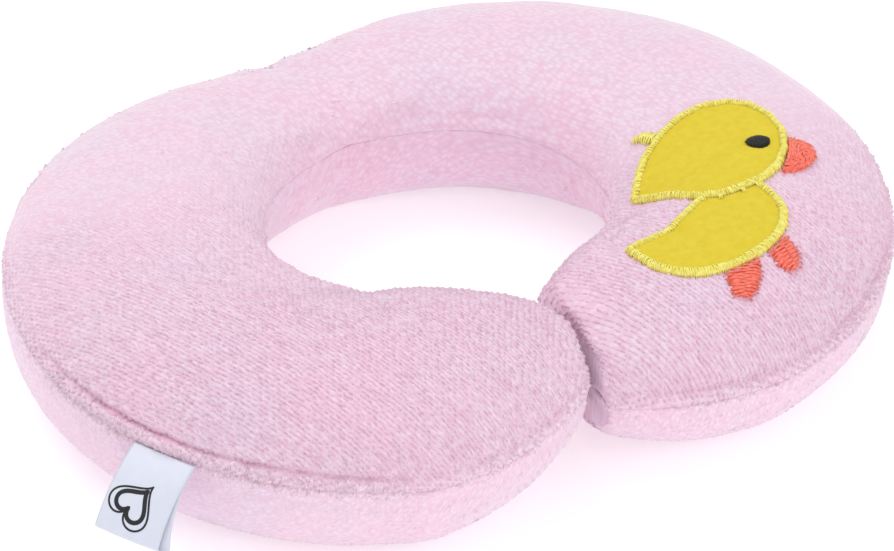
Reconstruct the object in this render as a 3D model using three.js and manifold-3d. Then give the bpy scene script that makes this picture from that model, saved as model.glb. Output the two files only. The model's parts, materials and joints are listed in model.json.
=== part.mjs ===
// A small child's U shaped neck pillow, lying flat with the gap between its arms facing -Y.
// Two plush panels are sewn edge to edge, stuffed with polyester fibre and closed by hand. A duck of felt
// and thread is sewn on the right arm, and a folded ribbon label is caught in the seam of the left arm.
// Millimetres, +Z up. The origin is on the ground under the middle of the outline, label included.

import * as THREE from "three";
import { ParametricGeometry } from "three/addons/geometries/ParametricGeometry.js";
import { mergeVertices } from "three/addons/utils/BufferGeometryUtils.js";
import Module from "manifold-3d";

const wasm = await Module();
wasm.setup();

// ---- driving dimensions -------------------------------------------------------------------------------

// The centre line is a wave in polar form: its radius is the sum of CENTRE_WAVES[n] * cos(n * angle),
// plus a skew. The angle runs clockwise from the middle of the back, ARM_ANGLE to each side, and both
// ends are moved on by ARM_ANGLE_SHIFT.
const CENTRE_WAVES = [78.1, 5, -10.2, 1.9, -1.2];
const CENTRE_SKEW = 1.7;
const ARM_ANGLE = 140.8;
const ARM_ANGLE_SHIFT = 2.8;

// Polynomials in the share of the way from the middle of the back to the end of an arm. The stuffing
// makes the left arm wider and lifts its seam, by these amounts at its end.
const HALF_WIDTH = [21.2, 34.5, -7.1, -9.5];
const HALF_WIDTH_SKEW = 0.028;
const TOP_RISE = [11.5, 16, -4.6];
const SEAM_HEIGHT = [27.5, 10.3, -12.5];
const SEAM_SKEW = 2.2;
// How far the stuffing would bulge below the ground, if it could.
const FLOOR_PRESS = 2.4;

// Exponents of the section's rounded quadrants and of an arm's end: 2 is an ellipse, more is squarer.
const INNER_ROUNDNESS = 2.25;
const OUTER_TOP_ROUNDNESS = 1.8;
const OUTER_BOTTOM_ROUNDNESS = 2.75;
const TIP_ROUNDNESS = 1.7;
// An arm's end reaches this share of its half width, and leans to its side and inwards by these shares.
const TIP_REACH = 1.42;
const TIP_LEAN = -0.17;
const TIP_SKEW = -0.15;
// The end's height falls with this power of its width.
const TIP_FALL = 0.9;
// The arms press against each other along a slit through this point, which leans by this slope.
const SLIT_PLACE = [2.7, -55];
const SLIT_TILT = -0.165;
const SLIT_HALF_GAP = 1.2;

// Plush, with seam allowances turned in along the seam, and what lies between and behind them.
const PLUSH_THICKNESS = 1.8;
const CLEARANCE = 0.3;
const SEAM_HALF_GAP = 0.8;
const ALLOWANCE_THICKNESS = 1.2;
const ALLOWANCE_WIDTH = 9;
const FILLING_INSET = 3.6;
const SEAM_THREAD = { outer: 1.2, inner: 2.2, low: 0.1, high: 0.5 };

// The stuffing opening, in the outer seam behind the back, and the hand stitches that close it.
const CLOSING_ANGLE = 12;
const CLOSING_STITCHES = 9;
const CLOSING_SPREAD = [1.2, 4.2];
const CLOSING_THREAD_RADIUS = 0.2;

// The duck's place in plan, from the pole of the centre line, its turn in degrees, and a height under
// all of it and over the seam.
const DUCK_PLACE = [60.6, -39.6];
const DUCK_TURN = -18;
const DUCK_FLOOR = 32;
const FELT_THICKNESS = 0.8;
const STITCH_THICKNESS = 1.2;
const BORDER_INSIDE = 1;
const BORDER_OUTSIDE = 1.2;
const BORDER_HEIGHT = 1.6;
const EYE_THICKNESS = 0.6;

// Outlines in the duck's own plane: x towards its beak, y up, the origin where head meets body.
// Each run is a smooth curve, and runs meet at corners.
const HEAD_RUNS = [
  [
    ...[[-19.4, 11.8], [-12, 28], [3.5, 40], [17.5, 38.7], [24.5, 24]],
    ...[[17.5, 6], [2.5, -1.7], [-8, 1], [-19.4, 11.8]],
  ],
];
const BODY_RUNS = [
  [[-6, -2.5], [11, 1]],
  [[11, 1], [15.4, -8.5], [12.7, -18.4], [4.5, -27], [-5, -31.7], [-16, -33], [-25, -28.5], [-29.5, -18]],
  [[-29.5, -18], [-22.5, -15], [-15, -11], [-6, -2.5]],
];
const TUFT_RUNS = [
  [[-6, 32], [-9.8, 36], [-14.5, 35.5]],
  [[-14.5, 35.5], [-12, 33], [-9, 30]],
];
const BEAK_RUNS = [[[21, 20], [29.6, 21.2], [32, 15.4], [29.2, 10], [24.6, 6.2], [19, 6], [21, 20]]];
const FRONT_FOOT_RUNS = [[[6, -24], [12.8, -20.5], [15.4, -26], [13.2, -31.8], [8.8, -32.4], [6, -24]]];
const REAR_FOOT_RUNS = [[[-6.5, -30], [2, -29], [2.4, -35.4], [-2, -41.3], [-7, -39.8], [-6.5, -30]]];
const EYE = { centre: [16.2, 18.5], radii: [3.2, 3] };
const STABILISER = { centre: [0, 0], radii: [31, 40], outer: 2.1, inner: 2.7 };

// The ribbon label: the angle of its middle, its width and length, and the slopes its loop hangs at.
const LABEL_ANGLE = -111;
const LABEL_WIDTH = 19;
const LABEL_REACH = 22;
const LABEL_SLOPES = [22, 62];
const LABEL_STEPS = 8;
const RIBBON_THICKNESS = 0.35;
// The two layers' distance from the loop's middle line at the stitches and at the fold.
const RIBBON_PARTING = [0.1, 0.45];
const FOLD_TURNS = [60, 20, -20, -60];
const LABEL_TAIL = { outer: 0.6, inner: 8, low: -0.5, high: -0.1 };

// Mesh fineness.
const BODY_STEPS = 36;
const TIP_STEPS = 4;
const SECTION_STEPS = 16;
const CURVE_STEPS = 2;

// ---- materials ----------------------------------------------------------------------------------------

const material = (color, roughness) => new THREE.MeshStandardMaterial({ color, roughness, metalness: 0 });
const PLUSH = material(0xe7cddc, 0.95);
const FIBRE = material(0xf6f6f2, 1);
const FELT = material(0xe5d03e, 0.95);
const YELLOW_THREAD = material(0xf0e65a, 0.6);
const CORAL_THREAD = material(0xfa6e55, 0.6);
const BLACK_THREAD = material(0x1c1a1a, 0.6);
const PINK_THREAD = material(0xdcb4c8, 0.7);
const BACKING = material(0xf2f2ee, 0.9);
const SATIN = material(0xe6e8f7, 0.4);

// ---- solids -------------------------------------------------------------------------------------------

const pillow = new THREE.Group();
// A height and a depth beyond the whole pillow's, and how far beyond its centre line a sector reaches.
const FAR = 60;
const SECTOR_SCALE = 3;
// The angle between two points that give the centre line's direction.
const NUDGE = 1e-3;

// A closed solid from a geometry whose edges meet: equal corners are merged, empty triangles dropped.
function solidOf(geometry) {
  const bare = new THREE.BufferGeometry();
  bare.setAttribute("position", geometry.getAttribute("position"));
  bare.setIndex(geometry.index);
  const merged = mergeVertices(bare, 1e-4);
  const corners = merged.index.array;
  const kept = [];
  for (let i = 0; i < corners.length; i += 3) {
    const [a, b, c] = [corners[i], corners[i + 1], corners[i + 2]];
    if (a !== b && b !== c && c !== a) kept.push(a, b, c);
  }
  const vertProperties = merged.getAttribute("position").array;
  const triVerts = new Uint32Array(kept);
  return new wasm.Manifold(new wasm.Mesh({ numProp: 3, vertProperties, triVerts }));
}

function addPart(name, solid, look) {
  const mesh = solid.getMesh();
  const geometry = new THREE.BufferGeometry();
  geometry.setAttribute("position", new THREE.BufferAttribute(mesh.vertProperties, 3));
  geometry.setIndex(new THREE.BufferAttribute(mesh.triVerts, 1));
  geometry.computeVertexNormals();
  const part = new THREE.Mesh(geometry, look);
  part.name = name;
  pillow.add(part);
}

// ---- the stuffed U ------------------------------------------------------------------------------------

const { clamp, degToRad } = THREE.MathUtils;
const polynomial = (terms, x) => terms.reduce((sum, term, degree) => sum + term * x ** degree, 0);
const signedPower = (value, exponent) => Math.sign(value) * Math.abs(value) ** exponent;

function centreLine(angle) {
  const waves = CENTRE_WAVES.reduce((sum, size, n) => sum + size * Math.cos(n * angle), 0);
  const radius = waves + CENTRE_SKEW * Math.sin(2 * angle);
  return new THREE.Vector2(radius * Math.sin(angle), radius * Math.cos(angle));
}

// The section at an angle, and at a turn from 0 to 90 degrees round an arm's end on one side (-1 or 1),
// with its outside moved in by inset.
function section(angle, endTurn, side, inset) {
  const share = angle / degToRad(ARM_ANGLE);
  const along = Math.abs(share);
  const tangent = centreLine(angle + NUDGE).sub(centreLine(angle - NUDGE)).normalize();
  const outward = new THREE.Vector2(-tangent.y, tangent.x);
  const shrink = Math.max(Math.cos(endTurn), 0) ** (2 / TIP_ROUNDNESS);
  const reach = TIP_REACH * Math.sin(endTurn) ** (2 / TIP_ROUNDNESS);
  const lean = (TIP_LEAN - side * TIP_SKEW) * Math.sin(endTurn) ** 2;
  const halfWidth = polynomial(HALF_WIDTH, along) * (1 - HALF_WIDTH_SKEW * share) - inset;
  const centre = centreLine(angle);
  centre.addScaledVector(tangent, side * reach * halfWidth);
  centre.addScaledVector(outward, lean * halfWidth);
  const seam = polynomial(SEAM_HEIGHT, along) - SEAM_SKEW * share;
  return {
    centre,
    outward,
    seam,
    side,
    halfWidth: halfWidth * shrink,
    rise: (polynomial(TOP_RISE, along) - inset) * shrink ** TIP_FALL,
    depth: (seam + FLOOR_PRESS - inset) * shrink ** TIP_FALL,
  };
}

// The section at a step along the whole pillow, from the left arm's end to the right arm's end.
const LENGTH_STEPS = BODY_STEPS + 2 * TIP_STEPS;
function sectionAtStep(step, inset) {
  const beyond = Math.max(TIP_STEPS - step, step - TIP_STEPS - BODY_STEPS, 0);
  const share = clamp((step - TIP_STEPS) / BODY_STEPS, 0, 1) * 2 - 1;
  const angle = degToRad(share * ARM_ANGLE + ARM_ANGLE_SHIFT);
  const side = step < LENGTH_STEPS / 2 ? -1 : 1;
  return section(angle, ((beyond / TIP_STEPS) * Math.PI) / 2, side, inset);
}

// Two stuffed arms that meet flatten each other: no corner comes nearer the slit between them than gap.
function place(at, across, height, gap, target) {
  target.set(at.centre.x + at.outward.x * across, at.centre.y + at.outward.y * across, height);
  const slit = new THREE.Vector2(1, SLIT_TILT).normalize();
  const clear = at.side * ((target.x - SLIT_PLACE[0]) * slit.x + (target.y - SLIT_PLACE[1]) * slit.y);
  if (target.y > 0 || clear > gap) return;
  target.x += at.side * (gap - clear) * slit.x;
  target.y += at.side * (gap - clear) * slit.y;
}

// The pillow's whole outside, moved in by inset, or out where inset is negative.
function stuffedSolid(inset) {
  const corner = (u, v, target) => {
    const at = sectionAtStep(u * LENGTH_STEPS, inset);
    const side = Math.cos(-v * 2 * Math.PI);
    const lift = Math.sin(-v * 2 * Math.PI);
    const outerRoundness = lift < 0 ? OUTER_BOTTOM_ROUNDNESS : OUTER_TOP_ROUNDNESS;
    const roundness = side > 0 ? outerRoundness : INNER_ROUNDNESS;
    const across = at.halfWidth * signedPower(side, 2 / roundness);
    const up = (lift < 0 ? at.depth : at.rise) * signedPower(lift, 2 / roundness);
    // The ground flattens what would bulge below it.
    place(at, across, Math.max(at.seam + up, inset), SLIT_HALF_GAP + inset, target);
  };
  return solidOf(new ParametricGeometry(corner, LENGTH_STEPS, SECTION_STEPS));
}

// All the space over a surface that follows the seam at a height above it, a little wider than the pillow.
function overSeam(height) {
  const margin = SLIT_HALF_GAP / 2;
  const corners = [
    [1, height],
    [-1, height],
    [-1, FAR],
    [1, FAR],
  ];
  const corner = (u, v, target) => {
    const at = sectionAtStep(u * LENGTH_STEPS, -margin);
    const [side, up] = corners[Math.round(v * 4) % 4];
    place(at, at.halfWidth * side, at.seam + up, SLIT_HALF_GAP - margin, target);
  };
  return solidOf(new ParametricGeometry(corner, LENGTH_STEPS, 4));
}

const seamLayer = (low, high) => overSeam(low).subtract(overSeam(high));

// The layer between two insets, the outer one first.
const skin = (outer, inner) => stuffedSolid(outer).subtract(stuffedSolid(inner));

// ---- covers, filling and seam -------------------------------------------------------------------------

const ALLOWANCE_TOP = SEAM_HALF_GAP + ALLOWANCE_THICKNESS;

// A plush panel turns in along the seam and leaves the inside open.
function addPanel(name, isTop) {
  const half = (solid, gap) => (isTop ? solid.intersect(overSeam(gap)) : solid.subtract(overSeam(-gap)));
  const cavity = half(stuffedSolid(PLUSH_THICKNESS), ALLOWANCE_TOP).add(stuffedSolid(ALLOWANCE_WIDTH));
  addPart(name, half(stuffedSolid(0), SEAM_HALF_GAP).subtract(cavity), PLUSH);
}

function addFilling() {
  const reach = ALLOWANCE_TOP + CLEARANCE;
  const groove = seamLayer(-reach, reach).subtract(stuffedSolid(ALLOWANCE_WIDTH + CLEARANCE));
  addPart("fibre_filling", stuffedSolid(FILLING_INSET).subtract(groove), FIBRE);
}

// The space outside the centre line between two angles, as a prism.
function outerSector(from, to) {
  const [start, end] = [from, to].map((angle) => centreLine(degToRad(angle)));
  const beyond = (point) => point.clone().multiplyScalar(SECTOR_SCALE);
  const shape = new THREE.Shape([start, beyond(start), beyond(end), end]);
  return solidOf(new THREE.ExtrudeGeometry(shape, { depth: 2 * FAR, bevelEnabled: false }));
}

function addSeamThread() {
  const { outer, inner, low, high } = SEAM_THREAD;
  const ring = skin(outer, inner).intersect(seamLayer(low, high));
  addPart("seam_thread", ring.subtract(outerSector(-CLOSING_ANGLE, CLOSING_ANGLE)), PINK_THREAD);
}

// A point on the outer seam, at an angle in degrees, moved in by inset.
function seamPoint(angle, inset) {
  const at = section(degToRad(angle), 0, Math.sign(angle) || 1, inset);
  const point = new THREE.Vector3();
  place(at, at.halfWidth, at.seam, 0, point);
  return point;
}

// The hand stitches zigzag between the two turned-in edges of the stuffing opening.
function addClosingStitch() {
  const points = [];
  const reach = CLOSING_ANGLE - 1;
  for (let i = 0; i <= 2 * CLOSING_STITCHES; i++) {
    points.push(seamPoint(-reach + (i * reach) / CLOSING_STITCHES, CLOSING_SPREAD[i % 2]));
  }
  const thread = new THREE.Shape().absarc(0, 0, CLOSING_THREAD_RADIUS, 0, 2 * Math.PI);
  const geometry = new THREE.ExtrudeGeometry(thread, {
    steps: points.length * 3,
    curveSegments: 4,
    extrudePath: new THREE.CatmullRomCurve3(points),
  });
  addPart("closing_ladder_stitch", solidOf(geometry), PINK_THREAD);
}

// ---- the duck -----------------------------------------------------------------------------------------

// An outline's corners, anticlockwise.
function outline(runs) {
  const shape = new THREE.Shape();
  shape.moveTo(...runs[0][0]);
  for (const run of runs) shape.splineThru(run.slice(1).map((point) => new THREE.Vector2(...point)));
  const points = shape.getPoints(CURVE_STEPS).slice(0, -1);
  return THREE.ShapeUtils.isClockWise(points) ? points.reverse() : points;
}

function ellipse({ centre, radii }) {
  const shape = new THREE.Shape().absellipse(...centre, ...radii, 0, 2 * Math.PI);
  return shape.getPoints(CURVE_STEPS * 6).slice(0, -1);
}

// The outline moved out by a distance, or in where it is negative.
function grown(points, distance) {
  return points.map((point, i) => {
    const before = points[(i + points.length - 1) % points.length];
    const after = points[(i + 1) % points.length];
    const along = after.clone().sub(before).normalize();
    return new THREE.Vector2(point.x + along.y * distance, point.y - along.x * distance);
  });
}

// The space over an outline on the right arm, grown by a distance all round.
function columnOver(points, growth = 0) {
  const shape = new THREE.Shape(grown(points, growth));
  const column = new THREE.ExtrudeGeometry(shape, { depth: FAR, bevelEnabled: false });
  column.rotateZ(degToRad(DUCK_TURN));
  column.translate(...DUCK_PLACE, DUCK_FLOOR);
  return solidOf(column);
}

// A layer on top of the plush: from one height over it to another.
const layerOver = (low, high) => skin(-high, -low);

function addDuck() {
  const head = outline(HEAD_RUNS);
  const body = outline(BODY_RUNS);
  const feltTop = CLEARANCE + FELT_THICKNESS;
  const felt = layerOver(CLEARANCE, feltTop);
  const stitched = layerOver(CLEARANCE, CLEARANCE + STITCH_THICKNESS);
  const border = layerOver(CLEARANCE, feltTop + BORDER_HEIGHT - FELT_THICKNESS);
  const underBorder = stuffedSolid(-feltTop - CLEARANCE);
  const around = BORDER_OUTSIDE + CLEARANCE;

  // A satin border lies on the plush outside the felt's edge and on the felt inside it.
  const borderOf = (points) => {
    const ring = columnOver(points, BORDER_OUTSIDE).subtract(columnOver(points, -BORDER_INSIDE));
    return border.intersect(ring).subtract(underBorder.intersect(columnOver(points, CLEARANCE)));
  };
  const besideHead = (solid) => solid.subtract(columnOver(head, around));
  const besideBody = (solid) => besideHead(solid).subtract(columnOver(body, around));
  const stitch = (runs) => stitched.intersect(columnOver(outline(runs)));

  addPart("duck_head_patch", felt.intersect(columnOver(head)), FELT);
  addPart("duck_body_patch", besideHead(felt.intersect(columnOver(body))), FELT);
  addPart("head_satin_border", borderOf(head), YELLOW_THREAD);
  addPart("body_satin_border", besideHead(borderOf(body)), YELLOW_THREAD);
  addPart("head_tuft", besideHead(stitch(TUFT_RUNS)), YELLOW_THREAD);
  addPart("beak", besideHead(stitch(BEAK_RUNS)), CORAL_THREAD);
  addPart("front_foot", besideBody(stitch(FRONT_FOOT_RUNS)), CORAL_THREAD);
  addPart("rear_foot", besideBody(stitch(REAR_FOOT_RUNS)), CORAL_THREAD);
  const overFelt = layerOver(feltTop + CLEARANCE, feltTop + CLEARANCE + EYE_THICKNESS);
  addPart("eye", overFelt.intersect(columnOver(ellipse(EYE))), BLACK_THREAD);
  const backing = skin(STABILISER.outer, STABILISER.inner);
  addPart("embroidery_stabiliser", backing.intersect(columnOver(ellipse(STABILISER))), BACKING);
}

// ---- the ribbon label ---------------------------------------------------------------------------------

// The middle line of the hanging loop, in the plane across the seam: x outwards, y up.
function labelLine() {
  const [first, last] = LABEL_SLOPES.map(degToRad);
  const step = LABEL_REACH / LABEL_STEPS;
  const points = [new THREE.Vector2(0, 0)];
  for (let i = 0; i < LABEL_STEPS; i++) {
    const slope = first + ((last - first) * (i + 0.5)) / LABEL_STEPS;
    const move = new THREE.Vector2(Math.cos(slope), -Math.sin(slope)).multiplyScalar(step);
    points.push(points[i].clone().add(move));
  }
  return points;
}

// The ribbon folded in two: both layers leave the stitch line together and part towards the fold.
function labelProfile() {
  const line = labelLine();
  const across = line.map((point, i) => {
    const along = line[Math.min(i + 1, LABEL_STEPS)].clone().sub(line[Math.max(i - 1, 0)]).normalize();
    return new THREE.Vector2(-along.y, along.x);
  });
  const away = (i, distance) => line[i].clone().addScaledVector(across[i], distance);
  const [first, last] = RIBBON_PARTING;
  const gap = (i) => first + (last - first) * (i / LABEL_STEPS);
  const steps = line.map((_, i) => i);
  const forward = new THREE.Vector2(across[LABEL_STEPS].y, -across[LABEL_STEPS].x);
  const fold = (radius) =>
    FOLD_TURNS.map(degToRad).map((turn) =>
      away(LABEL_STEPS, radius * Math.sin(turn)).addScaledVector(forward, radius * Math.cos(turn)),
    );
  const outer = RIBBON_THICKNESS;
  return [
    ...steps.map((i) => away(i, gap(i) + outer)),
    ...fold(last + outer),
    ...steps.map((i) => away(i, -gap(i) - outer)).reverse(),
    ...steps.map((i) => away(i, -gap(i))),
    ...fold(last).reverse(),
    ...steps.map((i) => away(i, gap(i))).reverse(),
  ];
}

function addLabel() {
  const reach = LABEL_WIDTH / 2 / centreLine(degToRad(LABEL_ANGLE)).length();
  const reachDegrees = THREE.MathUtils.radToDeg(reach);
  const along = seamPoint(LABEL_ANGLE + reachDegrees, 0).sub(seamPoint(LABEL_ANGLE - reachDegrees, 0));
  along.normalize();
  const outward = new THREE.Vector3(-along.y, along.x, 0).normalize();
  const up = new THREE.Vector3().crossVectors(along, outward);
  const start = seamPoint(LABEL_ANGLE, -CLEARANCE);

  const loop = new THREE.ExtrudeGeometry(new THREE.Shape(labelProfile()), {
    depth: LABEL_WIDTH,
    bevelEnabled: false,
  });
  loop.translate(0, 0, -LABEL_WIDTH / 2);
  const frame = new THREE.Matrix4().makeBasis(outward, up, along).setPosition(start);
  loop.applyMatrix4(frame);
  addPart("folded_label", solidOf(loop), SATIN);

  const { outer, inner, low, high } = LABEL_TAIL;
  const block = new THREE.BoxGeometry(FAR, FAR, LABEL_WIDTH);
  block.applyMatrix4(frame);
  const tail = skin(outer, inner).intersect(seamLayer(low, high)).intersect(solidOf(block));
  addPart("label_seam_tail", tail, SATIN);
}

// ---- the whole pillow ---------------------------------------------------------------------------------

addPanel("top_cover_panel", true);
addPanel("bottom_cover_panel", false);
addFilling();
addSeamThread();
addClosingStitch();
addDuck();
addLabel();

const middle = new THREE.Box3().setFromObject(pillow).getCenter(new THREE.Vector3());
pillow.position.set(-middle.x, -middle.y, 0);

export default pillow;
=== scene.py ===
import json
import math

import bpy
import numpy as np
from mathutils import Matrix, Vector, noise
from mathutils.bvhtree import BVHTree
from mathutils.geometry import delaunay_2d_cdt


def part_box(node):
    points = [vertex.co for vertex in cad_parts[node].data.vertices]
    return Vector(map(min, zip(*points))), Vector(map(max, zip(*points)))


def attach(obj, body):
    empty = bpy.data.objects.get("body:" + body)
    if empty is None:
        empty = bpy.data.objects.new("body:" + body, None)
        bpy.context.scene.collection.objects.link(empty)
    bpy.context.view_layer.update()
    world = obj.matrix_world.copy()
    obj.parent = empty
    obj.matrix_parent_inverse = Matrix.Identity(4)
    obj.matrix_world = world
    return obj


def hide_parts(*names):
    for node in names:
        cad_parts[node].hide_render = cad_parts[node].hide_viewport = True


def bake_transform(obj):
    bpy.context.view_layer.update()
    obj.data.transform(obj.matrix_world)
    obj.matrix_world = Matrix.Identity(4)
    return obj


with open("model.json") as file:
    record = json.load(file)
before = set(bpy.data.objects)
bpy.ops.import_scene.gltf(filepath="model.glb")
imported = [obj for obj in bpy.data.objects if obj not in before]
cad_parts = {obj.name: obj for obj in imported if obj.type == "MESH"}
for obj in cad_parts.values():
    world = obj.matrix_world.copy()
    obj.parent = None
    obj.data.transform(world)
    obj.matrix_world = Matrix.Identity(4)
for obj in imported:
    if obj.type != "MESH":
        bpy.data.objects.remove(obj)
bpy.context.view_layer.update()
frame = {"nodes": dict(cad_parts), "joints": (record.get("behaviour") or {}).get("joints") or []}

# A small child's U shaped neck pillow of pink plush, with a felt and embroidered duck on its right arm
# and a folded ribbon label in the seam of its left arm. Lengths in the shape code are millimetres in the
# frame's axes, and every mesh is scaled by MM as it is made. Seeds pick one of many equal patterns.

MM = 0.001
SEED = 7
rng = np.random.default_rng(SEED)
# The noise: how its octaves weaken, how much finer each is, their number, and how far seeds lie apart.
NOISE = (0.8, 2.1, 2)
SEED_STEP = 17.3
SEAM_SEED, PUCKER_SEED, RIDGE_SEED, FELT_SEED, CLUMP_SEED, BRUSH_SEED = 1, 2, 8, 6, 9, 11
DOWN = Vector((0, 0, -1))

# ---- driving dimensions ------------------------------------------------------------------------------

# The stuffed U, with the same driving dimensions as the CAD model.
CENTRE_WAVES = (78.1, 5, -10.2, 1.9, -1.2)
CENTRE_SKEW = 1.7
ARM_ANGLE = math.radians(140.8)
ARM_ANGLE_SHIFT = math.radians(2.8)
HALF_WIDTH = (21.2, 34.5, -7.1, -9.5)
HALF_WIDTH_SKEW = 0.028
TOP_RISE = (11.5, 16, -4.6)
SEAM_HEIGHT = (27.5, 10.3, -12.5)
SEAM_SKEW = 2.2
FLOOR_PRESS = 2.4
INNER_ROUNDNESS = 2.25
OUTER_TOP_ROUNDNESS = 1.8
OUTER_BOTTOM_ROUNDNESS = 2.75
TIP_ROUNDNESS = 1.7
TIP_FALL = 0.9
TIP_REACH = 1.42
TIP_LEAN = -0.17
TIP_SKEW = -0.15
SLIT_PLACE = np.array([2.7, -55])
SLIT_TILT = -0.165
SLIT_HALF_GAP = 1.2

# Steps of the cloth that is inflated: along the arms, round each arm's end, and across each panel. The
# finished mesh is finer by REFINE_ALONG and REFINE_ACROSS.
SECTION_STEPS = 241
BODY_STEPS = 132
TIP_STEPS = 10
HALF_STEPS = 24
REFINE_ALONG = 4
REFINE_ACROSS = 6
# Columns of the finished mesh: closely spaced near each seam, wider between.
SEAM_ZONE = 7.5
SEAM_COLUMNS = 20
MIDDLE_COLUMNS = 62

# The inflation: the cloth's settings, its length, and how far it may move the cloth.
CLOTH = {
    "quality": 6,
    "mass": 0.2,
    "tension_stiffness": 20,
    "compression_stiffness": 20,
    "shear_stiffness": 8,
    "bending_stiffness": 0.4,
    "shrink_min": -0.02,
    "use_pressure": True,
    "uniform_pressure_force": 4,
    "vertex_group_mass": "seam",
}
SIMULATED_FRAMES = 20
MOST_SWELLING = 1.2

# The seam: its groove as depth and width, and how deep the cloth lies under the plush; a rolled ridge of
# pile on the upper panel and a valley behind it, each as height, distance from the stitch line and width;
# the ridge's lumps as height and size, how they change across it, and its share on the lower panel.
GROOVE = (0.15, 0.5)
PILE_DEPTH = 0.45
RIDGE = (0.8, 2.0, 1.3)
VALLEY = (1.25, 4.4, 0.95)
LOWER_VALLEY = (0.35, 4.0, 2.0)
RIDGE_LUMPS = (0.48, 3.4)
RIDGE_DRIFT = 0.5
LOWER_RIDGE_SHARE = 0.3
# The puckers across the seam: height, length along it, the distance they die out in, how much they move
# the valley, and how they stretch away from the seam. Within STITCH_LINE of it the cloth is held.
PUCKER_HEIGHT = 0.3
PUCKER_LENGTH = 6.5
PUCKER_DEPTH = 8.0
PUCKERED_VALLEY = 0.6
PUCKER_FLATTENING = np.array([1, 1, 0.4])
PUCKER_DRIFT = 0.12
STITCH_LINE = 0.1
# How deep the seam is worked: everywhere, its unevenness, how much more beside the label, to what reach;
# its limits, the size of the unevenness, and the inner seam's share.
SEAM_STRENGTH = (0.14, 0.45, 0.86, 46)
SEAM_STRENGTH_LIMITS = (0.05, 1.4)
SEAM_STRENGTH_SIZE = 22
INNER_SEAM_SHARE = 0.4
# The stuffing's unevenness: the size of its lumps, their height and a seed.
UNEVENNESS = ((38, 0.5, 3), (11, 0.15, 4), (2.6, 0.05, 5))
# Below this height the panel lies on the ground and keeps its shape.
RESTING_HEIGHT = 3
# The turned-in edges: how far in, how far from the other panel's, and at most what share of the width.
TURNED_IN = (1.2, 2.8)
TURNED_IN_LIFT = 0.25
TURNED_IN_MOST = 0.4
# Rows of a panel narrower than this take their neighbours' direction.
NARROW_ROW = 3

# The plush: the direction its rows run in plan, their pitch and the length of a tuft.
ROW_ANGLE = math.radians(-72)
ROW_PITCH = 1.25
TUFT_LENGTH = 2.1
TUFT_RISE = 0.46
TUFT_SHADING = 0.85
# A tuft's root, sides, crest and tip, as shares of its length, width and rise.
TUFT_FORM = ((-0.5, 0, 0), (-0.05, 0.5, 0), (-0.05, -0.5, 0), (0.12, 0, 1), (0.5, 0, 0.2))
TUFT_FACES = ((0, 3, 1), (0, 2, 3), (1, 3, 4), (3, 2, 4), (0, 1, 2), (1, 4, 2))
TUFT_SUNK = 0.08
# The nap is brushed smoother towards the back right: that direction, places along it and how smooth it is
# there. From rough to smooth, the tufts' rise, width and shading change by these shares.
BRUSHED_WAY = np.array([0.3, 1, 0])
BRUSHED_SMOOTH = ((-60, -5, 45), (0, 0.45, 1))
BRUSHED_RISE = (1.7, 0.12)
BRUSHED_WIDTH = (0.76, 1.15)
BRUSHED_SHADING = (2.1, 0.7)
LOWER_PANEL_SMOOTH = 0.75
# Tufts are shorter where the cloth bends to the seam: distances from it and shares of their length.
# Their places and their direction vary a little, as shares of the pitch and of the length.
SEAM_TUFT_LENGTH = ((1, 7), (0.42, 1))
TUFT_JITTER = 0.16
TUFT_SWAY = 0.14
# How much single tufts differ in length, width and rise.
TUFT_LENGTHS, TUFT_WIDTHS, TUFT_RISES = (1.0, 1.45), (0.87, 1.13), (0.6, 1.3)
# How much more they rise beside the seam, at what distance and over what width.
SEAM_TUFT_RISE = (0.8, 1.8, 2.2)
# No tufts stand where the cloth's scale is beyond these limits, or lower than this.
FAIR_SCALE = (0.3, 3)
LOWEST_TUFT = 0.9
# How far the brushed patches' edges wander, and over what size.
BRUSHED_DRIFT = (14, 30)
# Heights that rays start from: over the flat cloth and over the pillow.
OVER_CLOTH, OVER_PILLOW = 5, 90

# The camera: degrees round and above, its roll, its distance and aim in millimetres, its lens, and its
# clipping distances in metres.
VIEW_AZIMUTH = math.radians(-33.0)
VIEW_ELEVATION = math.radians(34.5)
VIEW_ROLL = math.radians(1.73)
VIEW_DISTANCE = 2509
VIEW_AIM = (4.5, -4.05, 19.4)
LENS = 375
CAMERA_CLIP = (0.1, 50)

# Threads thin out at their ends: the share of the way they start at, and how blunt they are.
THREAD_END = 0.12
THREAD_TAPER = 0.35
# Threads laid over the plush: their steps, how round their arch is and how much its height varies; how
# much of the reach over an area's edge each takes.
ARCH_STEPS = 7
ARCH_ROUNDNESS = 2.6
ARCH_UNEVENNESS = 0.09
OVERREACH = (-0.3, 1)

# The duck: the pitch of its satin stitches, the side where its body's border is widest, and how far that
# border keeps from the head's.
STITCH_PITCH = 0.42
BODY_HEAVY_SIDE = np.array([0.5, -0.85])
BORDER_CLEARANCE = 1.5
# A border's padded ridge, as shares of its reach to each side and heights over the plush; its threads'
# heights at the first end, the middle and the last end, their width and height, their slant and its
# spread, the fewest that make a run, and how their ends vary.
BORDER_PROFILE = (
    (-0.92, 0.62),
    (-0.75, 1.12),
    (-0.1, 1.34),
    (0.6, 1.0),
    (0.92, 0.2),
    (0.5, -0.2),
    (-0.6, 0.3),
)
BORDER_ARCH = (0.82, 1.55, 0.12)
BORDER_THREAD = (STITCH_PITCH * 0.95, 0.46)
BORDER_SLANT = (0.25, 0.16)
SHORTEST_RUN = 4
BORDER_NEAR, BORDER_FAR = (-0.2, 0.3), (-0.25, 0.4)
# How far the head's and the body's borders reach over the felt and over the plush; how much wider the
# body's is at its widest, and how far round that goes.
HEAD_BORDER = (1.15, 1.0)
BODY_BORDER = (1.15, 0.95)
BODY_HEAVINESS = 0.49
BODY_HEAVY_REACH = 0.4
# A CAD face whose normal rises more than this belongs to its piece's top, whose rim is the outline.
TOP_FACE = 0.35
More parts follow.
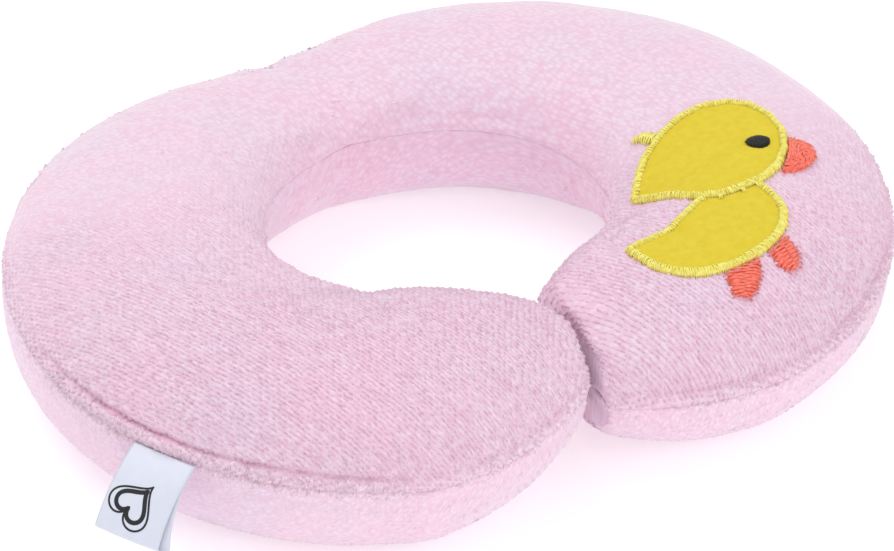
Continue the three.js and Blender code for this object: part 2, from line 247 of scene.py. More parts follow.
# Patches: pitch of their points in rows of triangles, clearance from the outline as a share of it, and
# height of the underside. INSIDE_ONLY is the triangulation's mode that keeps what the outline encloses.
PATCH_PITCH = 0.9
TRIANGLE_HEIGHT = 0.866
PATCH_CLEARANCE = 0.45
PATCH_UNDERSIDE = -0.3
INSIDE_ONLY = 1
# The felt: its edge's height over the plush, how much higher its middle is and how quickly it gets there;
# how much it rounds the CAD model's corners; its unevenness as height and size.
FELT_LIFT = (0.72, 0.28, 1.8)
FELT_SOFTNESS = 0.8
FELT_UNEVENNESS = (0.1, 9)
# Filled stitches: the pad's inset, how quickly it rises and how far it stays under the threads; the
# threads' width as a share of their pitch, and their height.
PAD_INSET = 0.25
PAD_RISE = 1.2
PAD_SUNK = 0.12
FILL_OVERLAP, FILL_HEIGHT = 1.3, 0.4
# Outlines of filled areas, as spacing and softness.
TUFT_OUTLINE, EYE_OUTLINE, CORAL_OUTLINE = (0.3, 0.3), (0.3, 0.5), (0.4, 0.5)
# Filled areas: way of the threads, pitch, heights at the first end, the middle and the last end, reach
# over the edge and sway. The feet differ in their ways. The head tuft's threads lie a little off the CAD
# model's.
TUFT_STITCHES = (math.radians(35), 0.34, (0.2, 1.2, 0.3), 0.8, 0.3)
EYE_STITCHES = (math.radians(72), 0.3, (1.1, 1.75, 1.1), 0.12, 0.0)
FOOT_STITCHES = (0.5, (0.15, 1.35, 0.15), 1.0, 0.55)
HEAD_TUFT_SHIFT = np.array([0.5, -0.2])
FOOT_TURNS = {"front_foot": math.radians(20), "rear_foot": math.radians(-20)}
# The beak's rings of threads: share of its radius and number of threads.
BEAK_RINGS = ((0.98, 44), (0.72, 34), (0.46, 24), (0.2, 12))
# Its threads' step round it, as a share of the way, and inwards; how their places and both ends vary.
BEAK_CURL, BEAK_INWARD = 0.09, 0.3
BEAK_SPREAD, BEAK_STARTS, BEAK_ENDS = (-0.4, 0.4), (-0.06, 0.1), (-0.08, 0.08)
# Its pad's inset, height at the edge, rise and reach; its threads' arch, rise and size.
BEAK_INSET = 0.3
BEAK_PAD = (0.25, 0.85, 1.5)
BEAK_ARCH = (0.0, 0.35, 0.0)
BEAK_RISE = (0.35, 0.75)
BEAK_THREAD = (0.62, 0.5)
# Its loose tails: the side of the corner they leave, their places there, where they go, how their lengths
# vary and their height; their steps, slackness, height at the ends as a share, and size and sides.
BEAK_TAIL_SIDE = np.array([0.6, 0.8])
BEAK_TAIL_PLACES = np.array([[0, 0], [0.6, 0.4], [1.4, 0.6]])
BEAK_TAIL = np.array([-2.2, -1.2])
TAIL_LENGTHS = (0.7, 1.2)
TAIL_LIFT = 0.5
TAIL_STEPS = 9
TAIL_SLACK = (-0.35, 0.35)
TAIL_END_LIFT = 0.4
TAIL_THREAD = (0.22, 0.22, 4)

# The pile that stands out along the seam: its reach from the stitch line, length, share of painted light
# that pales it, how far its clumps lean along the seam, its rise and shading, and how thick it is at
# least.
SEAM_PILE_REACH = 3.4
SEAM_PILE_LENGTH = 2.3
SEAM_PILE_PAINTED_LIGHT = 0.88
SEAM_PILE_CLUMPS = 1.3
SEAM_PILE_RISE = 0.75
SEAM_PILE_SHADING = 0.9
SEAM_PILE_LEAST = 0.05
# It thins towards the back: places in y, and the share of it that is there.
SEAM_PILE_THINS = ((-15, 35), (1, 0.06))
# Rows without it at both arms' ends; how its tufts crowd to the stitch line, as a beta distribution.
SEAM_PILE_ENDS = (5, 7)
SEAM_PILE_CROWDING = (1.3, 2.0)
# The clumps' size and how much longer they are, the tufts' sway, and how they differ in length, width and
# rise.
CLUMP_SIZE, CLUMP_LENGTH = 2.6, 0.3
SEAM_PILE_SWAY = 0.25
SEAM_PILE_LENGTHS, SEAM_PILE_WIDTHS, SEAM_PILE_RISES = (0.7, 1.25), (0.45, 0.85), (0.5, 1.3)
# Tufts tried on the upper and on the lower panel's edge.
SEAM_TUFTS = {"seam_pile_top": 8000, "seam_pile_bottom": 2666}

# The ribbon label, with the CAD model's width, length and slopes in degrees. Its layers part more and
# more, curl with their middle down, twist, shift sideways and join in a round fold of these turns in
# degrees. LABEL_BEND is a place out and up from the seam.
LABEL_WIDTH = 19
LABEL_REACH = 23.5
LABEL_SLOPES = (24, 64)
LABEL_STEPS, LABEL_COLUMNS = 44, 26
RIBBON_THICKNESS = 0.3
RIBBON_PARTING = (0.2, 0.9)
PARTING_GROWTH = 1.5
LABEL_CURL = -0.9
CURL_BALANCE = 0.4
LABEL_TWIST = 0.6
FOLD_TURNS = (60, 40, 20, 0, -20, -40, -60)
LABEL_OFFSET = -2.4
LABEL_BEND = (5, -2.5)
# The printed hearts: place on the ribbon, size, turn and width of the line.
LABEL_HEARTS = (((0.8, 15), 13.5, -0.5, 0.55), ((0.8, 15), 9.6, -0.5, 1.2))
HEART_STEPS = 72
INK_HEIGHTS = (0.02, 0.06)

# The hand-closed opening: number of stitches, their columns beside the seam and heights over the plush,
# finer steps for each, and the thread's width, height and sides.
CLOSING_STITCHES = 9
CLOSING_COLUMNS = (2, 1, 0, -1, -2)
CLOSING_HEIGHTS = (-0.4, 0.3, 0.55, 0.3, -0.4)
CLOSING_REFINED = 3
CLOSING_THREAD = (0.45, 0.45, 6)

# Colours, as sRGB from 0 to 255.
WHITE = (255, 255, 255)
FELT, FELT_SHADE = (229, 208, 60), (219, 195, 46)
YELLOW_THREAD, YELLOW_THREAD_SHADE = (255, 250, 146), (243, 228, 96)
CORAL_THREAD, CORAL_THREAD_SHADE = (255, 142, 122), (246, 104, 84)
BLACK_THREAD, BLACK_THREAD_SHADE = (22, 20, 20), (12, 11, 12)
PINK_THREAD, PINK_THREAD_SHADE = (222, 182, 202), (206, 160, 184)
SATIN, SATIN_SHADE, SATIN_SHINE = (214, 217, 232), (213, 217, 233), (222, 225, 239)
FIBRE, FIBRE_SHADE, FIBRE_SHINE = (246, 246, 242), (226, 226, 222), (252, 252, 250)
BACKING = (242, 242, 238)
INK = (30, 30, 34)

# The studio: the floor's corners in millimetres, its colour and glow, and the world's strength; lights by
# name, place in metres, width and power.
FLOOR_CORNERS = ((-4000, -4000, 0), (4000, -4000, 0), (4000, 4000, 0), (-4000, 4000, 0))
FLOOR_COLOR = (236, 236, 236)
FLOOR_GLOW = 0.4
WORLD_STRENGTH = 0.78
LIGHTS = (
    ("top", (-0.4, 0.7, 1.5), 1.2, 7.5),
    ("front", (0.35, -1.7, 1.2), 1.4, 7.2),
)

# ---- the stuffed U -----------------------------------------------------------------------------------


def polynomial(terms, x):
    return sum(term * x**degree for degree, term in enumerate(terms))


def signed_power(value, exponent):
    return np.sign(value) * np.abs(value) ** exponent


def centre_line(angle):
    radius = sum(size * np.cos(n * angle) for n, size in enumerate(CENTRE_WAVES))
    radius = radius + CENTRE_SKEW * np.sin(2 * angle)
    return np.stack([radius * np.sin(angle), radius * np.cos(angle)], -1)


def sections():
    """Each section's centre, outward direction, seam height, half width, rise, depth and arm, -1 or 1."""
    turns = np.linspace(1, 0, TIP_STEPS, endpoint=False)
    beyond = np.concatenate([turns, np.zeros(BODY_STEPS + 1), turns[::-1]]) * math.pi / 2
    share = np.linspace(-1, 1, BODY_STEPS + 1)
    share = np.concatenate([np.full(TIP_STEPS, -1.0), share, np.full(TIP_STEPS, 1.0)])
    side = np.where(np.arange(len(share)) < len(share) / 2, -1.0, 1.0)
    angle = share * ARM_ANGLE + ARM_ANGLE_SHIFT
    part = angle / ARM_ANGLE
    along = np.abs(part)
    nudge = 1e-3
    tangent = centre_line(angle + nudge) - centre_line(angle - nudge)
    tangent /= np.linalg.norm(tangent, axis=1)[:, None]
    outward = np.stack([-tangent[:, 1], tangent[:, 0]], -1)
    shrink = np.maximum(np.cos(beyond), 0) ** (2 / TIP_ROUNDNESS)
    shrink[[0, -1]] = 0
    half_width = polynomial(HALF_WIDTH, along) * (1 - HALF_WIDTH_SKEW * part)
    reach = side * TIP_REACH * np.sin(beyond) ** (2 / TIP_ROUNDNESS) * half_width
    lean = (TIP_LEAN - side * TIP_SKEW) * np.sin(beyond) ** 2 * half_width
    centre = centre_line(angle) + tangent * reach[:, None] + outward * lean[:, None]
    seam = polynomial(SEAM_HEIGHT, along) - SEAM_SKEW * part
    rise = polynomial(TOP_RISE, along) * shrink**TIP_FALL
    depth = (seam + FLOOR_PRESS) * shrink**TIP_FALL
    return centre, outward, seam, half_width * shrink, rise, depth, side


def kept_apart(grid, side):
    """Two stuffed arms that meet flatten each other against the slit between them."""
    slit = np.array([1, SLIT_TILT]) / math.hypot(1, SLIT_TILT)
    clear = side[:, None] * ((grid[..., :2] - SLIT_PLACE) @ slit)
    push = np.where(grid[..., 1] > 0, 0, np.maximum(SLIT_HALF_GAP - clear, 0)) * side[:, None]
    grid[..., :2] += push[..., None] * slit
    return grid


def half_section(width, rise, depth, upper):
    """One panel's section from the outer seam to the inner one, in equal steps: across and up."""
    turn = np.linspace(0, math.pi, SECTION_STEPS)
    outer = OUTER_TOP_ROUNDNESS if upper else OUTER_BOTTOM_ROUNDNESS
    roundness = np.where(np.cos(turn) > 0, outer, INNER_ROUNDNESS)
    across = width * signed_power(np.cos(turn), 2 / roundness)
    up = np.abs(np.sin(turn)) ** (2 / roundness)
    up = up * rise if upper else -up * depth
    length = np.concatenate([[0], np.cumsum(np.hypot(np.diff(across), np.diff(up)))])
    if length[-1] < 1e-6:
        return np.zeros((HALF_STEPS + 1, 2))
    even = np.linspace(0, length[-1], HALF_STEPS + 1)
    return np.stack([np.interp(even, length, across), np.interp(even, length, up)], -1)


def pillow_grid():
    """Points along the pillow and round it: from the outer seam over the top to the inner, and back."""
    centre, outward, seam, width, rise, depth, side = sections()
    rows = []
    for i in range(len(centre)):
        top = half_section(width[i], rise[i], depth[i], True)
        bottom = half_section(width[i], rise[i], depth[i], False)
        ring = np.concatenate([top[:-1], bottom[:0:-1]])
        plan = centre[i] + outward[i] * ring[:, :1]
        rows.append(np.column_stack([plan, np.maximum(seam[i] + ring[:, 1], 0)]))
    return kept_apart(np.array(rows), side), side


def refined(grid, factor, axis, closed):
    """The grid with factor steps for each step along an axis, on smooth curves through its points."""
    b = np.moveaxis(grid, axis, 0)
    if closed:
        a, c, d = np.roll(b, 1, 0), np.roll(b, -1, 0), np.roll(b, -2, 0)
    else:
        ends = np.concatenate([2 * b[:1] - b[1:2], b, 2 * b[-1:] - b[-2:-1]])
        a, b, c, d = ends[:-3], ends[1:-2], ends[2:-1], ends[3:]
    fine = []
    for t in np.arange(factor) / factor:
        cubic = (-a + 3 * b - 3 * c + d) * t**3
        fine.append(0.5 * (2 * b + (c - a) * t + (2 * a - 5 * b + 4 * c - d) * t**2 + cubic))
    fine = np.stack(fine, 1).reshape(-1, *b.shape[1:])
    if not closed:
        fine = np.concatenate([fine, c[-1:]])
    return np.moveaxis(fine, 0, axis)


# ---- meshes and noise --------------------------------------------------------------------------------


def make_object(name, points, faces, material=None, smooth=True):
    mesh = bpy.data.meshes.new(name)
    mesh.from_pydata(np.asarray(points) * MM, [], faces)
    mesh.validate()
    mesh.update()
    if smooth:
        mesh.polygons.foreach_set("use_smooth", [True] * len(mesh.polygons))
    obj = bpy.data.objects.new(name, mesh)
    bpy.context.scene.collection.objects.link(obj)
    if material:
        mesh.materials.append(material)
    return obj


def grid_faces(rows, columns, closed=False):
    """Four-sided faces of a grid of points, numbered row by row."""
    last = columns if closed else columns - 1
    i, j = np.meshgrid(np.arange(rows - 1), np.arange(last), indexing="ij")
    k = (j + 1) % columns
    faces = np.stack([i * columns + j, i * columns + k, (i + 1) * columns + k, (i + 1) * columns + j], -1)
    return faces.reshape(-1, 4).tolist()


def value_noise(points, size, seed):
    """Smooth noise from -1 to 1 with features of about that size, at each point."""
    flat = np.asarray(points, float).reshape(-1, 3) / size + seed * SEED_STEP
    values = [noise.fractal(p, *NOISE) for p in flat]
    return np.array(values).reshape(np.asarray(points).shape[:-1])


def bell(x, centre, width):
    return np.exp(-(((x - centre) / width) ** 2))


def normals_of(grid):
    """Unit normals of a grid of points that closes round the pillow, facing out of it."""
    across = np.roll(grid, -1, 1) - np.roll(grid, 1, 1)
    along = np.gradient(grid, axis=0)
    normal = np.cross(across, along)
    size = np.linalg.norm(normal, axis=-1, keepdims=True)
    normal = np.where(size > 1e-9, normal / np.maximum(size, 1e-9), 0)
    normal[0] = normal[1:3].mean((0, 1))
    normal[-1] = normal[-3:-1].mean((0, 1))
    return normal / np.maximum(np.linalg.norm(normal, axis=-1, keepdims=True), 1e-9)


# ---- inflating the cloth -----------------------------------------------------------------------------


def inflated(grid):
    """The grid after air pressure has filled it, with its seam lines held."""
    rows, columns = grid.shape[:2]
    rings = grid[1:-1].reshape(-1, 3)
    points = np.concatenate([grid[:1, 0], rings, grid[-1:, 0]])
    faces = [[corner + 1 for corner in face] for face in grid_faces(rows - 2, columns, closed=True)]
    last = len(points) - 1
    for j in range(columns):
        after = (j + 1) % columns
        faces.append([0, 1 + after, 1 + j])
        faces.append([last, last - columns + j, last - columns + after])
    cloth = make_object("cloth", points, faces)
    held = [1 + i * columns + j for i in range(rows - 2) for j in (0, columns // 2)]
    cloth.vertex_groups.new(name="seam").add(held + [0, last], 1.0, "REPLACE")
    modifier = cloth.modifiers.new("Cloth", "CLOTH")
    settings = modifier.settings
    for name, value in CLOTH.items():
        setattr(settings, name, value)
    settings.effector_weights.gravity = 0
    modifier.point_cache.frame_start = 1
    modifier.point_cache.frame_end = SIMULATED_FRAMES
    scene = bpy.context.scene
    for step in range(1, SIMULATED_FRAMES + 1):
        scene.frame_set(step)
    moved = cloth.evaluated_get(bpy.context.evaluated_depsgraph_get()).data
    co = np.zeros(len(moved.vertices) * 3)
    moved.vertices.foreach_get("co", co)
    co = co.reshape(-1, 3) / MM
    scene.frame_set(1)
    bpy.data.objects.remove(cloth)
    ends = [np.repeat(co[:1], columns, 0)[None], np.repeat(co[-1:], columns, 0)[None]]
    swollen = np.concatenate([ends[0], co[1:-1].reshape(rows - 2, columns, 3), ends[1]])
    # The stuffing fills the cut shape already, so only the differences along the arms are kept.
    move = swollen - grid
    normal = normals_of(grid)
    bulge = (move * normal).sum(-1)
    bulge -= bulge[TIP_STEPS:-TIP_STEPS].mean(0)
    ends = np.minimum(np.arange(rows), np.arange(rows)[::-1])[:, None] / TIP_STEPS
    swelling = MOST_SWELLING * np.tanh(bulge / MOST_SWELLING) * np.clip(ends, 0, 1)
    return grid + normal * swelling[..., None]


def spaced(half):
    """A panel's rows with their columns close together near both seams."""
    steps = np.linalg.norm(np.diff(half, axis=1), axis=-1)
    length = np.concatenate([np.zeros((len(half), 1)), np.cumsum(steps, 1)], 1)
    rows = []
    for points, at in zip(half, length):
        total = at[-1]
        zone = min(SEAM_ZONE, total / 4)
        stations = np.concatenate([
            np.linspace(0, zone, SEAM_COLUMNS, endpoint=False),
            np.linspace(zone, total - zone, MIDDLE_COLUMNS, endpoint=False),
            np.linspace(total - zone, total, SEAM_COLUMNS + 1),
        ])
        rows.append(np.stack([np.interp(stations, at, points[:, k]) for k in range(3)], -1))
    return np.array(rows)


class Pillow:
    """The finished surface as a fine grid, with what the details need at each point."""

    def __init__(self):
        grid, side = pillow_grid()
        grid = inflated(grid)
        grid[..., 2] = np.maximum(grid[..., 2], 0)
        grid = kept_apart(grid, side)
        grid = refined(refined(grid, REFINE_ALONG, 0, False), REFINE_ACROSS, 1, True)
        half = HALF_STEPS * REFINE_ACROSS
        upper = spaced(grid[:, : half + 1])
        lower = spaced(np.concatenate([grid[:, half:], grid[:, :1]], 1))
        grid = np.concatenate([upper[:, :-1], lower[:, :-1]], 1)
        low, high = [np.array(corner) / MM for corner in pillow_box()]
        middle = (grid.reshape(-1, 3).min(0) + grid.reshape(-1, 3).max(0)) / 2
        grid = grid + np.array([*((low + high) / 2 - middle)[:2], 0])
        self.half = upper.shape[1] - 1
        steps = np.linalg.norm(np.roll(grid, -1, 1) - grid, axis=-1)
        length = np.concatenate([np.zeros((len(grid), 1)), np.cumsum(steps, 1)], 1)
        self.top_length = length[:, self.half]
        self.whole_length = length[:, -1]
        self.length = length[:, :-1]
        self.grid = grid
        self.shape_surface()

    def shape_surface(self):
        """Seams, puckers and unevenness, as heights along the normals."""
        grid, half = self.grid, self.half
        upper = np.arange(grid.shape[1]) <= half
        to_outer = np.minimum(self.length, self.whole_length[:, None] - self.length)
        to_inner = np.abs(self.top_length[:, None] - self.length)
        distance = np.minimum(to_outer, to_inner)
        outer = (to_outer <= to_inner)[..., None]
        anchor = np.where(outer, grid[:, :1], grid[:, half : half + 1])
        near_label = np.linalg.norm(anchor[:, [0, half]] - frame_point("folded_label"), axis=-1)
        base, uneven, label_share, reach = SEAM_STRENGTH
        strength = base + uneven * value_noise(anchor[:, [0, half]], SEAM_STRENGTH_SIZE, SEAM_SEED)
        strength = strength + label_share * bell(near_label, 0, reach)
        strength = np.clip(strength, *SEAM_STRENGTH_LIMITS)
        self.strength = strength[:, 0]
        strong = np.where(outer[..., 0], strength[:, :1], INNER_SEAM_SHARE * strength[:, 1:])
        beside = anchor * PUCKER_FLATTENING + distance[..., None] * PUCKER_DRIFT
        pucker = value_noise(beside, PUCKER_LENGTH, PUCKER_SEED)
        lumps = value_noise(anchor + distance[..., None] * RIDGE_DRIFT, RIDGE_LUMPS[1], RIDGE_SEED)
        valley = bell(distance, VALLEY[1] + PUCKERED_VALLEY * pucker, VALLEY[2]) * strong
        rolled = RIDGE[0] + RIDGE_LUMPS[0] * lumps
        ridge = bell(distance, RIDGE[1], RIDGE[2]) * rolled * (1 + strong) / 2
        lower = LOWER_VALLEY[0] * bell(distance, LOWER_VALLEY[1], LOWER_VALLEY[2])
        height = np.where(upper, ridge - VALLEY[0] * valley, LOWER_RIDGE_SHARE * ridge - lower)
        height = height - GROOVE[0] * bell(distance, 0, GROOVE[1]) - PILE_DEPTH
        fading = np.exp(-distance / PUCKER_DEPTH) * (distance > STITCH_LINE)
        height = height + PUCKER_HEIGHT * pucker * fading
        for size, amount, seed in UNEVENNESS:
            height = height + amount * value_noise(grid, size, seed)
        resting = np.clip(grid[..., 2] / RESTING_HEIGHT, 0, 1)
        self.distance = distance
        # The valley's mask, used only to paint shade into the plush's colour.
        self.valley_shade = np.where(upper, valley, 0)
        self.grid = grid + normals_of(grid) * (height * resting)[..., None]
        self.grid[..., 2] = np.maximum(self.grid[..., 2], 0)
        self.grid[0] = self.grid[0].mean(0)
        self.grid[-1] = self.grid[-1].mean(0)
        self.normal = normals_of(self.grid)

    def panel(self, upper, values):
        """Those of the grid's values that lie on one panel, from seam to seam."""
        if upper:
            return values[:, : self.half + 1]
        return np.concatenate([values[:, self.half :], values[:, :1]], 1)

    def panel_length(self, upper):
        """Arc lengths across a panel, from its middle."""
        if upper:
            return self.length[:, : self.half + 1] - self.top_length[:, None] / 2
        length = np.concatenate([self.length[:, self.half :], self.whole_length[:, None]], 1)
        return length - (self.top_length + self.whole_length)[:, None] / 2


def frame_point(node):
    """The middle of a CAD node's box, in millimetres."""
    low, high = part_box(node)
    return np.array((low + high) / 2) / MM


def pillow_box():
    """The box round the two cover panels of the frame."""
    lows, highs = zip(*(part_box(name) for name in ("top_cover_panel", "bottom_cover_panel")))
    return [min(v) for v in zip(*lows)], [max(v) for v in zip(*highs)]


# ---- materials ---------------------------------------------------------------------------------------


def linear(red, green, blue):
    """An sRGB colour in 0 to 255 as linear values."""
    shares = [value / 255 for value in (red, green, blue)]
    return [v / 12.92 if v <= 0.04045 else ((v + 0.055) / 1.055) ** 2.4 for v in shares]


def rgba(color):
    return (*linear(*color), 1)


def add_node(tree, kind, inputs=None, **properties):
    """A shader node; an input's value is a number, a colour or another node's output."""
    made = tree.nodes.new(kind)
    for name, value in properties.items():
        setattr(made, name, value)
    for key, value in (inputs or {}).items():
        if isinstance(value, bpy.types.NodeSocket):
            tree.links.new(value, made.inputs[key])
        else:
            made.inputs[key].default_value = value
    return made


def new_material(name, color, finish, sheen_tint=WHITE):
    """A material of one colour; its finish is its roughness, its sheen and the sheen's roughness."""
    material = bpy.data.materials.new(name)
    material.use_nodes = True
    shader = material.node_tree.nodes["Principled BSDF"]
    inputs = ("Base Color", "Roughness", "Sheen Weight", "Sheen Roughness", "Sheen Tint")
    for key, value in zip(inputs, (rgba(color), *finish, rgba(sheen_tint))):
        shader.inputs[key].default_value = value
    return material, material.node_tree, shader


def math_node(tree, operation, first, second=0.0, clamp=False):
    made = add_node(tree, "ShaderNodeMath", {0: first, 1: second}, operation=operation)
    made.use_clamp = clamp
    return made.outputs[0]


def vector_math(tree, operation, first, second):
    return add_node(tree, "ShaderNodeVectorMath", {0: first, 1: second}, operation=operation).outputs[0]


def noise_output(tree, vector, scale, detail=2.0, roughness=0.5, output="Fac"):
    inputs = {"Vector": vector, "Scale": scale, "Detail": detail, "Roughness": roughness}
    return add_node(tree, "ShaderNodeTexNoise", inputs).outputs[output]


def object_place(tree):
    return add_node(tree, "ShaderNodeTexCoord").outputs["Object"]


def read_attribute(tree, name, output="Fac"):
    return add_node(tree, "ShaderNodeAttribute", attribute_name=name).outputs[output]


def scaled(tree, vector, x, y, z):
    return vector_math(tree, "MULTIPLY", vector, (x, y, z))


def mixed_color(tree, factor, first, second):
    made = add_node(tree, "ShaderNodeMix", {"Factor": factor}, data_type="RGBA", blend_type="MIX")
    for index, value in ((6, first), (7, second)):
        if isinstance(value, bpy.types.NodeSocket):
            tree.links.new(value, made.inputs[index])
        else:
            made.inputs[index].default_value = value
    return made.outputs[2]


def set_color(tree, shader, share, low, high):
    """Gives a material a colour between two, by a share from 0 to 1."""
    tree.links.new(mixed_color(tree, share, rgba(low), rgba(high)), shader.inputs["Base Color"])


def spread(tree, value, low, high):
    """The value, from low and high, as 0 to 1."""
    made = add_node(tree, "ShaderNodeMapRange", {"Value": value, "From Min": low, "From Max": high})
    return made.outputs["Result"]


def bump(tree, shader, height, strength, distance):
    """Relief from a height in 0 to 1; distance is the height of 1 in millimetres."""
    inputs = {"Height": height, "Strength": strength, "Distance": distance * MM}
    made = add_node(tree, "ShaderNodeBump", inputs)
    tree.links.new(made.outputs["Normal"], shader.inputs["Normal"])


# Finishes: a material's roughness, its sheen and the sheen's roughness. Pile paled by painted light
# loses some sheen.
PLUSH_FINISH = (0.9, 0.9, 0.4)
PALE_SHEEN_LOSS = 0.7
FELT_FINISH = (0.95, 0.25, 0.6)
THREAD_FINISH = (0.38, 0.3, 0.3)
SATIN_FINISH = (0.34, 0.1, 0.4)
FILLING_FINISH = (1.0, 0.3, 0.5)
MATT_FINISH = (0.9, 0.0, 0.5)
INK_FINISH = (0.7, 0.0, 0.5)
# The plush's colours: the tufts' tips, painted shade at their roots, the two hues of its brushed patches,
# painted shade in the valley beside the seam, and painted light that pales the pile standing on the seam.
PLUSH_TIP = (243, 222, 236)
PLUSH_ROOT_SHADE = (225, 171, 199)
PLUSH_ROSE = (247, 208, 227)
PLUSH_LILAC = (231, 219, 238)
PLUSH_VALLEY_SHADE = (222, 166, 192)
PLUSH_PAINTED_LIGHT = (255, 228, 243)
PLUSH_SHEEN = (255, 250, 255)
PILE_SHEEN = (255, 240, 250)
CREASE_SHADE = 0.5
PATCH_SHARE = 0.45
PATCH_EDGES = (0.38, 0.62)
# The panels' pattern between the tufts: sizes of its patches and drift per millimetre, how far it drifts,
# how irregular its cells are, how fine its fibres run along and across the rows, and the relief of both.
PATCH_SCALE = 0.028
DRIFT_SCALE = 0.11
DRIFT_REACH = 1.8
NOISE_MEAN = (0.5, 0.5, 0.5)
CELL_RANDOMNESS, CELL_SMOOTHNESS = 0.62, 0.35
FIBRE_SCALE = (0.9, 3.4)
FIBRE_SHARE = 0.55
PLUSH_RELIEF = (0.32, 0.45)
# The values at which a cell goes from rim to middle, single tufts and the plush from the painted root
# shade to tip, and the least share of the tip's colour in the plush.
CELL_EDGES = (0.75, 0.05)
TUFT_EDGES = (0.75, 0.3)
TIP_EDGES = (0.3, 1.1)
TIP_LEAST = 0.5
# Noises, as scale, detail and roughness; the brushed patches' scale is given with each use. Scales of
# objects are per metre, those of the flat cloth per millimetre.
PATCH_NOISE = (3.0, 0.55)
FIBRE_NOISE = (1.0, 3.0, 0.6)
TUFT_NOISE = (700, 2.0, 0.6)
PILE_PATCH_SCALE = 28
FELT_MOTTLE, FELT_FIBRES = (420, 4.0, 0.6), (1500, 3.0, 0.7)
STRAND_NOISE = (900, 2.0, 0.6)
STRAND_RELIEF_SCALE = 3600
FILLING_NOISE = (300, 6.0, 0.7)
BACKING_NOISE = (900, 5.0, 0.8)
# The felt's share of mottling, how much finer its fibres are across, and the values at which felt and
# strands go from shade to colour.
MOTTLE_SHARE = 0.6
FELT_STRETCH = (1, 3, 1)
FELT_EDGES = (0.35, 0.65)
STRAND_EDGES = (0.35, 0.62)
# The satin's twill, and the scale of the shine's drift; both in millimetres of the flat ribbon.
TWILL = {"Scale": 2.6, "Distortion": 0.6, "Detail": 1.0}
SHINE_SCALE = 0.35
SATIN_SPECULAR = 0.6
# Reliefs, as strength and depth.
FELT_RELIEF = (0.5, 0.25)
STRAND_RELIEF = (0.25, 0.08)
TWILL_RELIEF = (0.18, 0.05)
FILLING_RELIEF = (0.8, 1.5)
BACKING_RELIEF = (0.5, 0.2)


def valley_shaded(tree, color):
    """Painted shade: the colour, darker and pinker where the attribute of the valley beside the seam is
    high.
    """
    share = math_node(tree, "MULTIPLY", read_attribute(tree, "valley_shade"), CREASE_SHADE, clamp=True)
    return mixed_color(tree, share, color, rgba(PLUSH_VALLEY_SHADE))


def patched(tree, place, scale):
    """The tufts' tip colour, drifting between lilac and rose over brushed patches."""
    patches = noise_output(tree, place, scale, *PATCH_NOISE)
    hue = mixed_color(tree, spread(tree, patches, *PATCH_EDGES), rgba(PLUSH_LILAC), rgba(PLUSH_ROSE))
    return mixed_color(tree, PATCH_SHARE, rgba(PLUSH_TIP), hue)


def plush_material(name):
    """Short plush: rows of small leaning tufts with painted shade at their roots, paler tips and brushed
    patches.
    """
    material, tree, shader = new_material(name, PLUSH_TIP, PLUSH_FINISH, PLUSH_SHEEN)
    grain = read_attribute(tree, "grain", "Vector")
    drift = noise_output(tree, scaled(tree, grain, *[DRIFT_SCALE] * 3), 1.0, output="Color")
    drift = vector_math(tree, "SUBTRACT", drift, NOISE_MEAN)
    warped = vector_math(tree, "ADD", grain, scaled(tree, drift, DRIFT_REACH, DRIFT_REACH, 0))
    cells = scaled(tree, warped, 1 / TUFT_LENGTH, 1 / ROW_PITCH, 1)
    inputs = {"Vector": cells, "Scale": 1.0, "Randomness": CELL_RANDOMNESS, "Smoothness": CELL_SMOOTHNESS}
    tufts = add_node(tree, "ShaderNodeTexVoronoi", inputs, feature="SMOOTH_F1").outputs["Distance"]
    tuft = spread(tree, tufts, *CELL_EDGES)
    fibres = noise_output(tree, scaled(tree, warped, *FIBRE_SCALE, 1), *FIBRE_NOISE)
    height = math_node(tree, "ADD", tuft, math_node(tree, "MULTIPLY", fibres, FIBRE_SHARE))
    tip = patched(tree, scaled(tree, grain, *[PATCH_SCALE] * 3), 1.0)
    # Painted shade: low between the tufts, the colour goes towards the root shade.
    share = math_node(tree, "MULTIPLY", spread(tree, height, *TIP_EDGES), 1 - TIP_LEAST)
    color = mixed_color(tree, math_node(tree, "ADD", share, TIP_LEAST), rgba(PLUSH_ROOT_SHADE), tip)
    # Painted shade in the valley beside the seam.
    tree.links.new(valley_shaded(tree, color), shader.inputs["Base Color"])
    bump(tree, shader, height, *PLUSH_RELIEF)
    return material


def pile_material(name, lift):
    """Single tufts, each a little paler or pinker than the next; lift from 0 to 1 pales all with painted
    light.
    """
    roughness, sheen, sheen_roughness = PLUSH_FINISH
    finish = (roughness, sheen - PALE_SHEEN_LOSS * lift, sheen_roughness)
    material, tree, shader = new_material(name, PLUSH_TIP, finish, PILE_SHEEN)
    place = object_place(tree)
    tufts = spread(tree, noise_output(tree, place, *TUFT_NOISE), *TUFT_EDGES)
    tip = math_node(tree, "MAXIMUM", tufts, read_attribute(tree, "smooth"))
    # Tufts differ at random, the darker ones towards the painted root shade; where the nap is smooth all
    # keep the tip's colour.
    color = mixed_color(tree, tip, rgba(PLUSH_ROOT_SHADE), patched(tree, place, PILE_PATCH_SCALE))
    # Painted light: the lift pales all the tufts, against the shade among the dense pile.
    color = mixed_color(tree, lift, valley_shaded(tree, color), rgba(PLUSH_PAINTED_LIGHT))
    tree.links.new(color, shader.inputs["Base Color"])
    return material


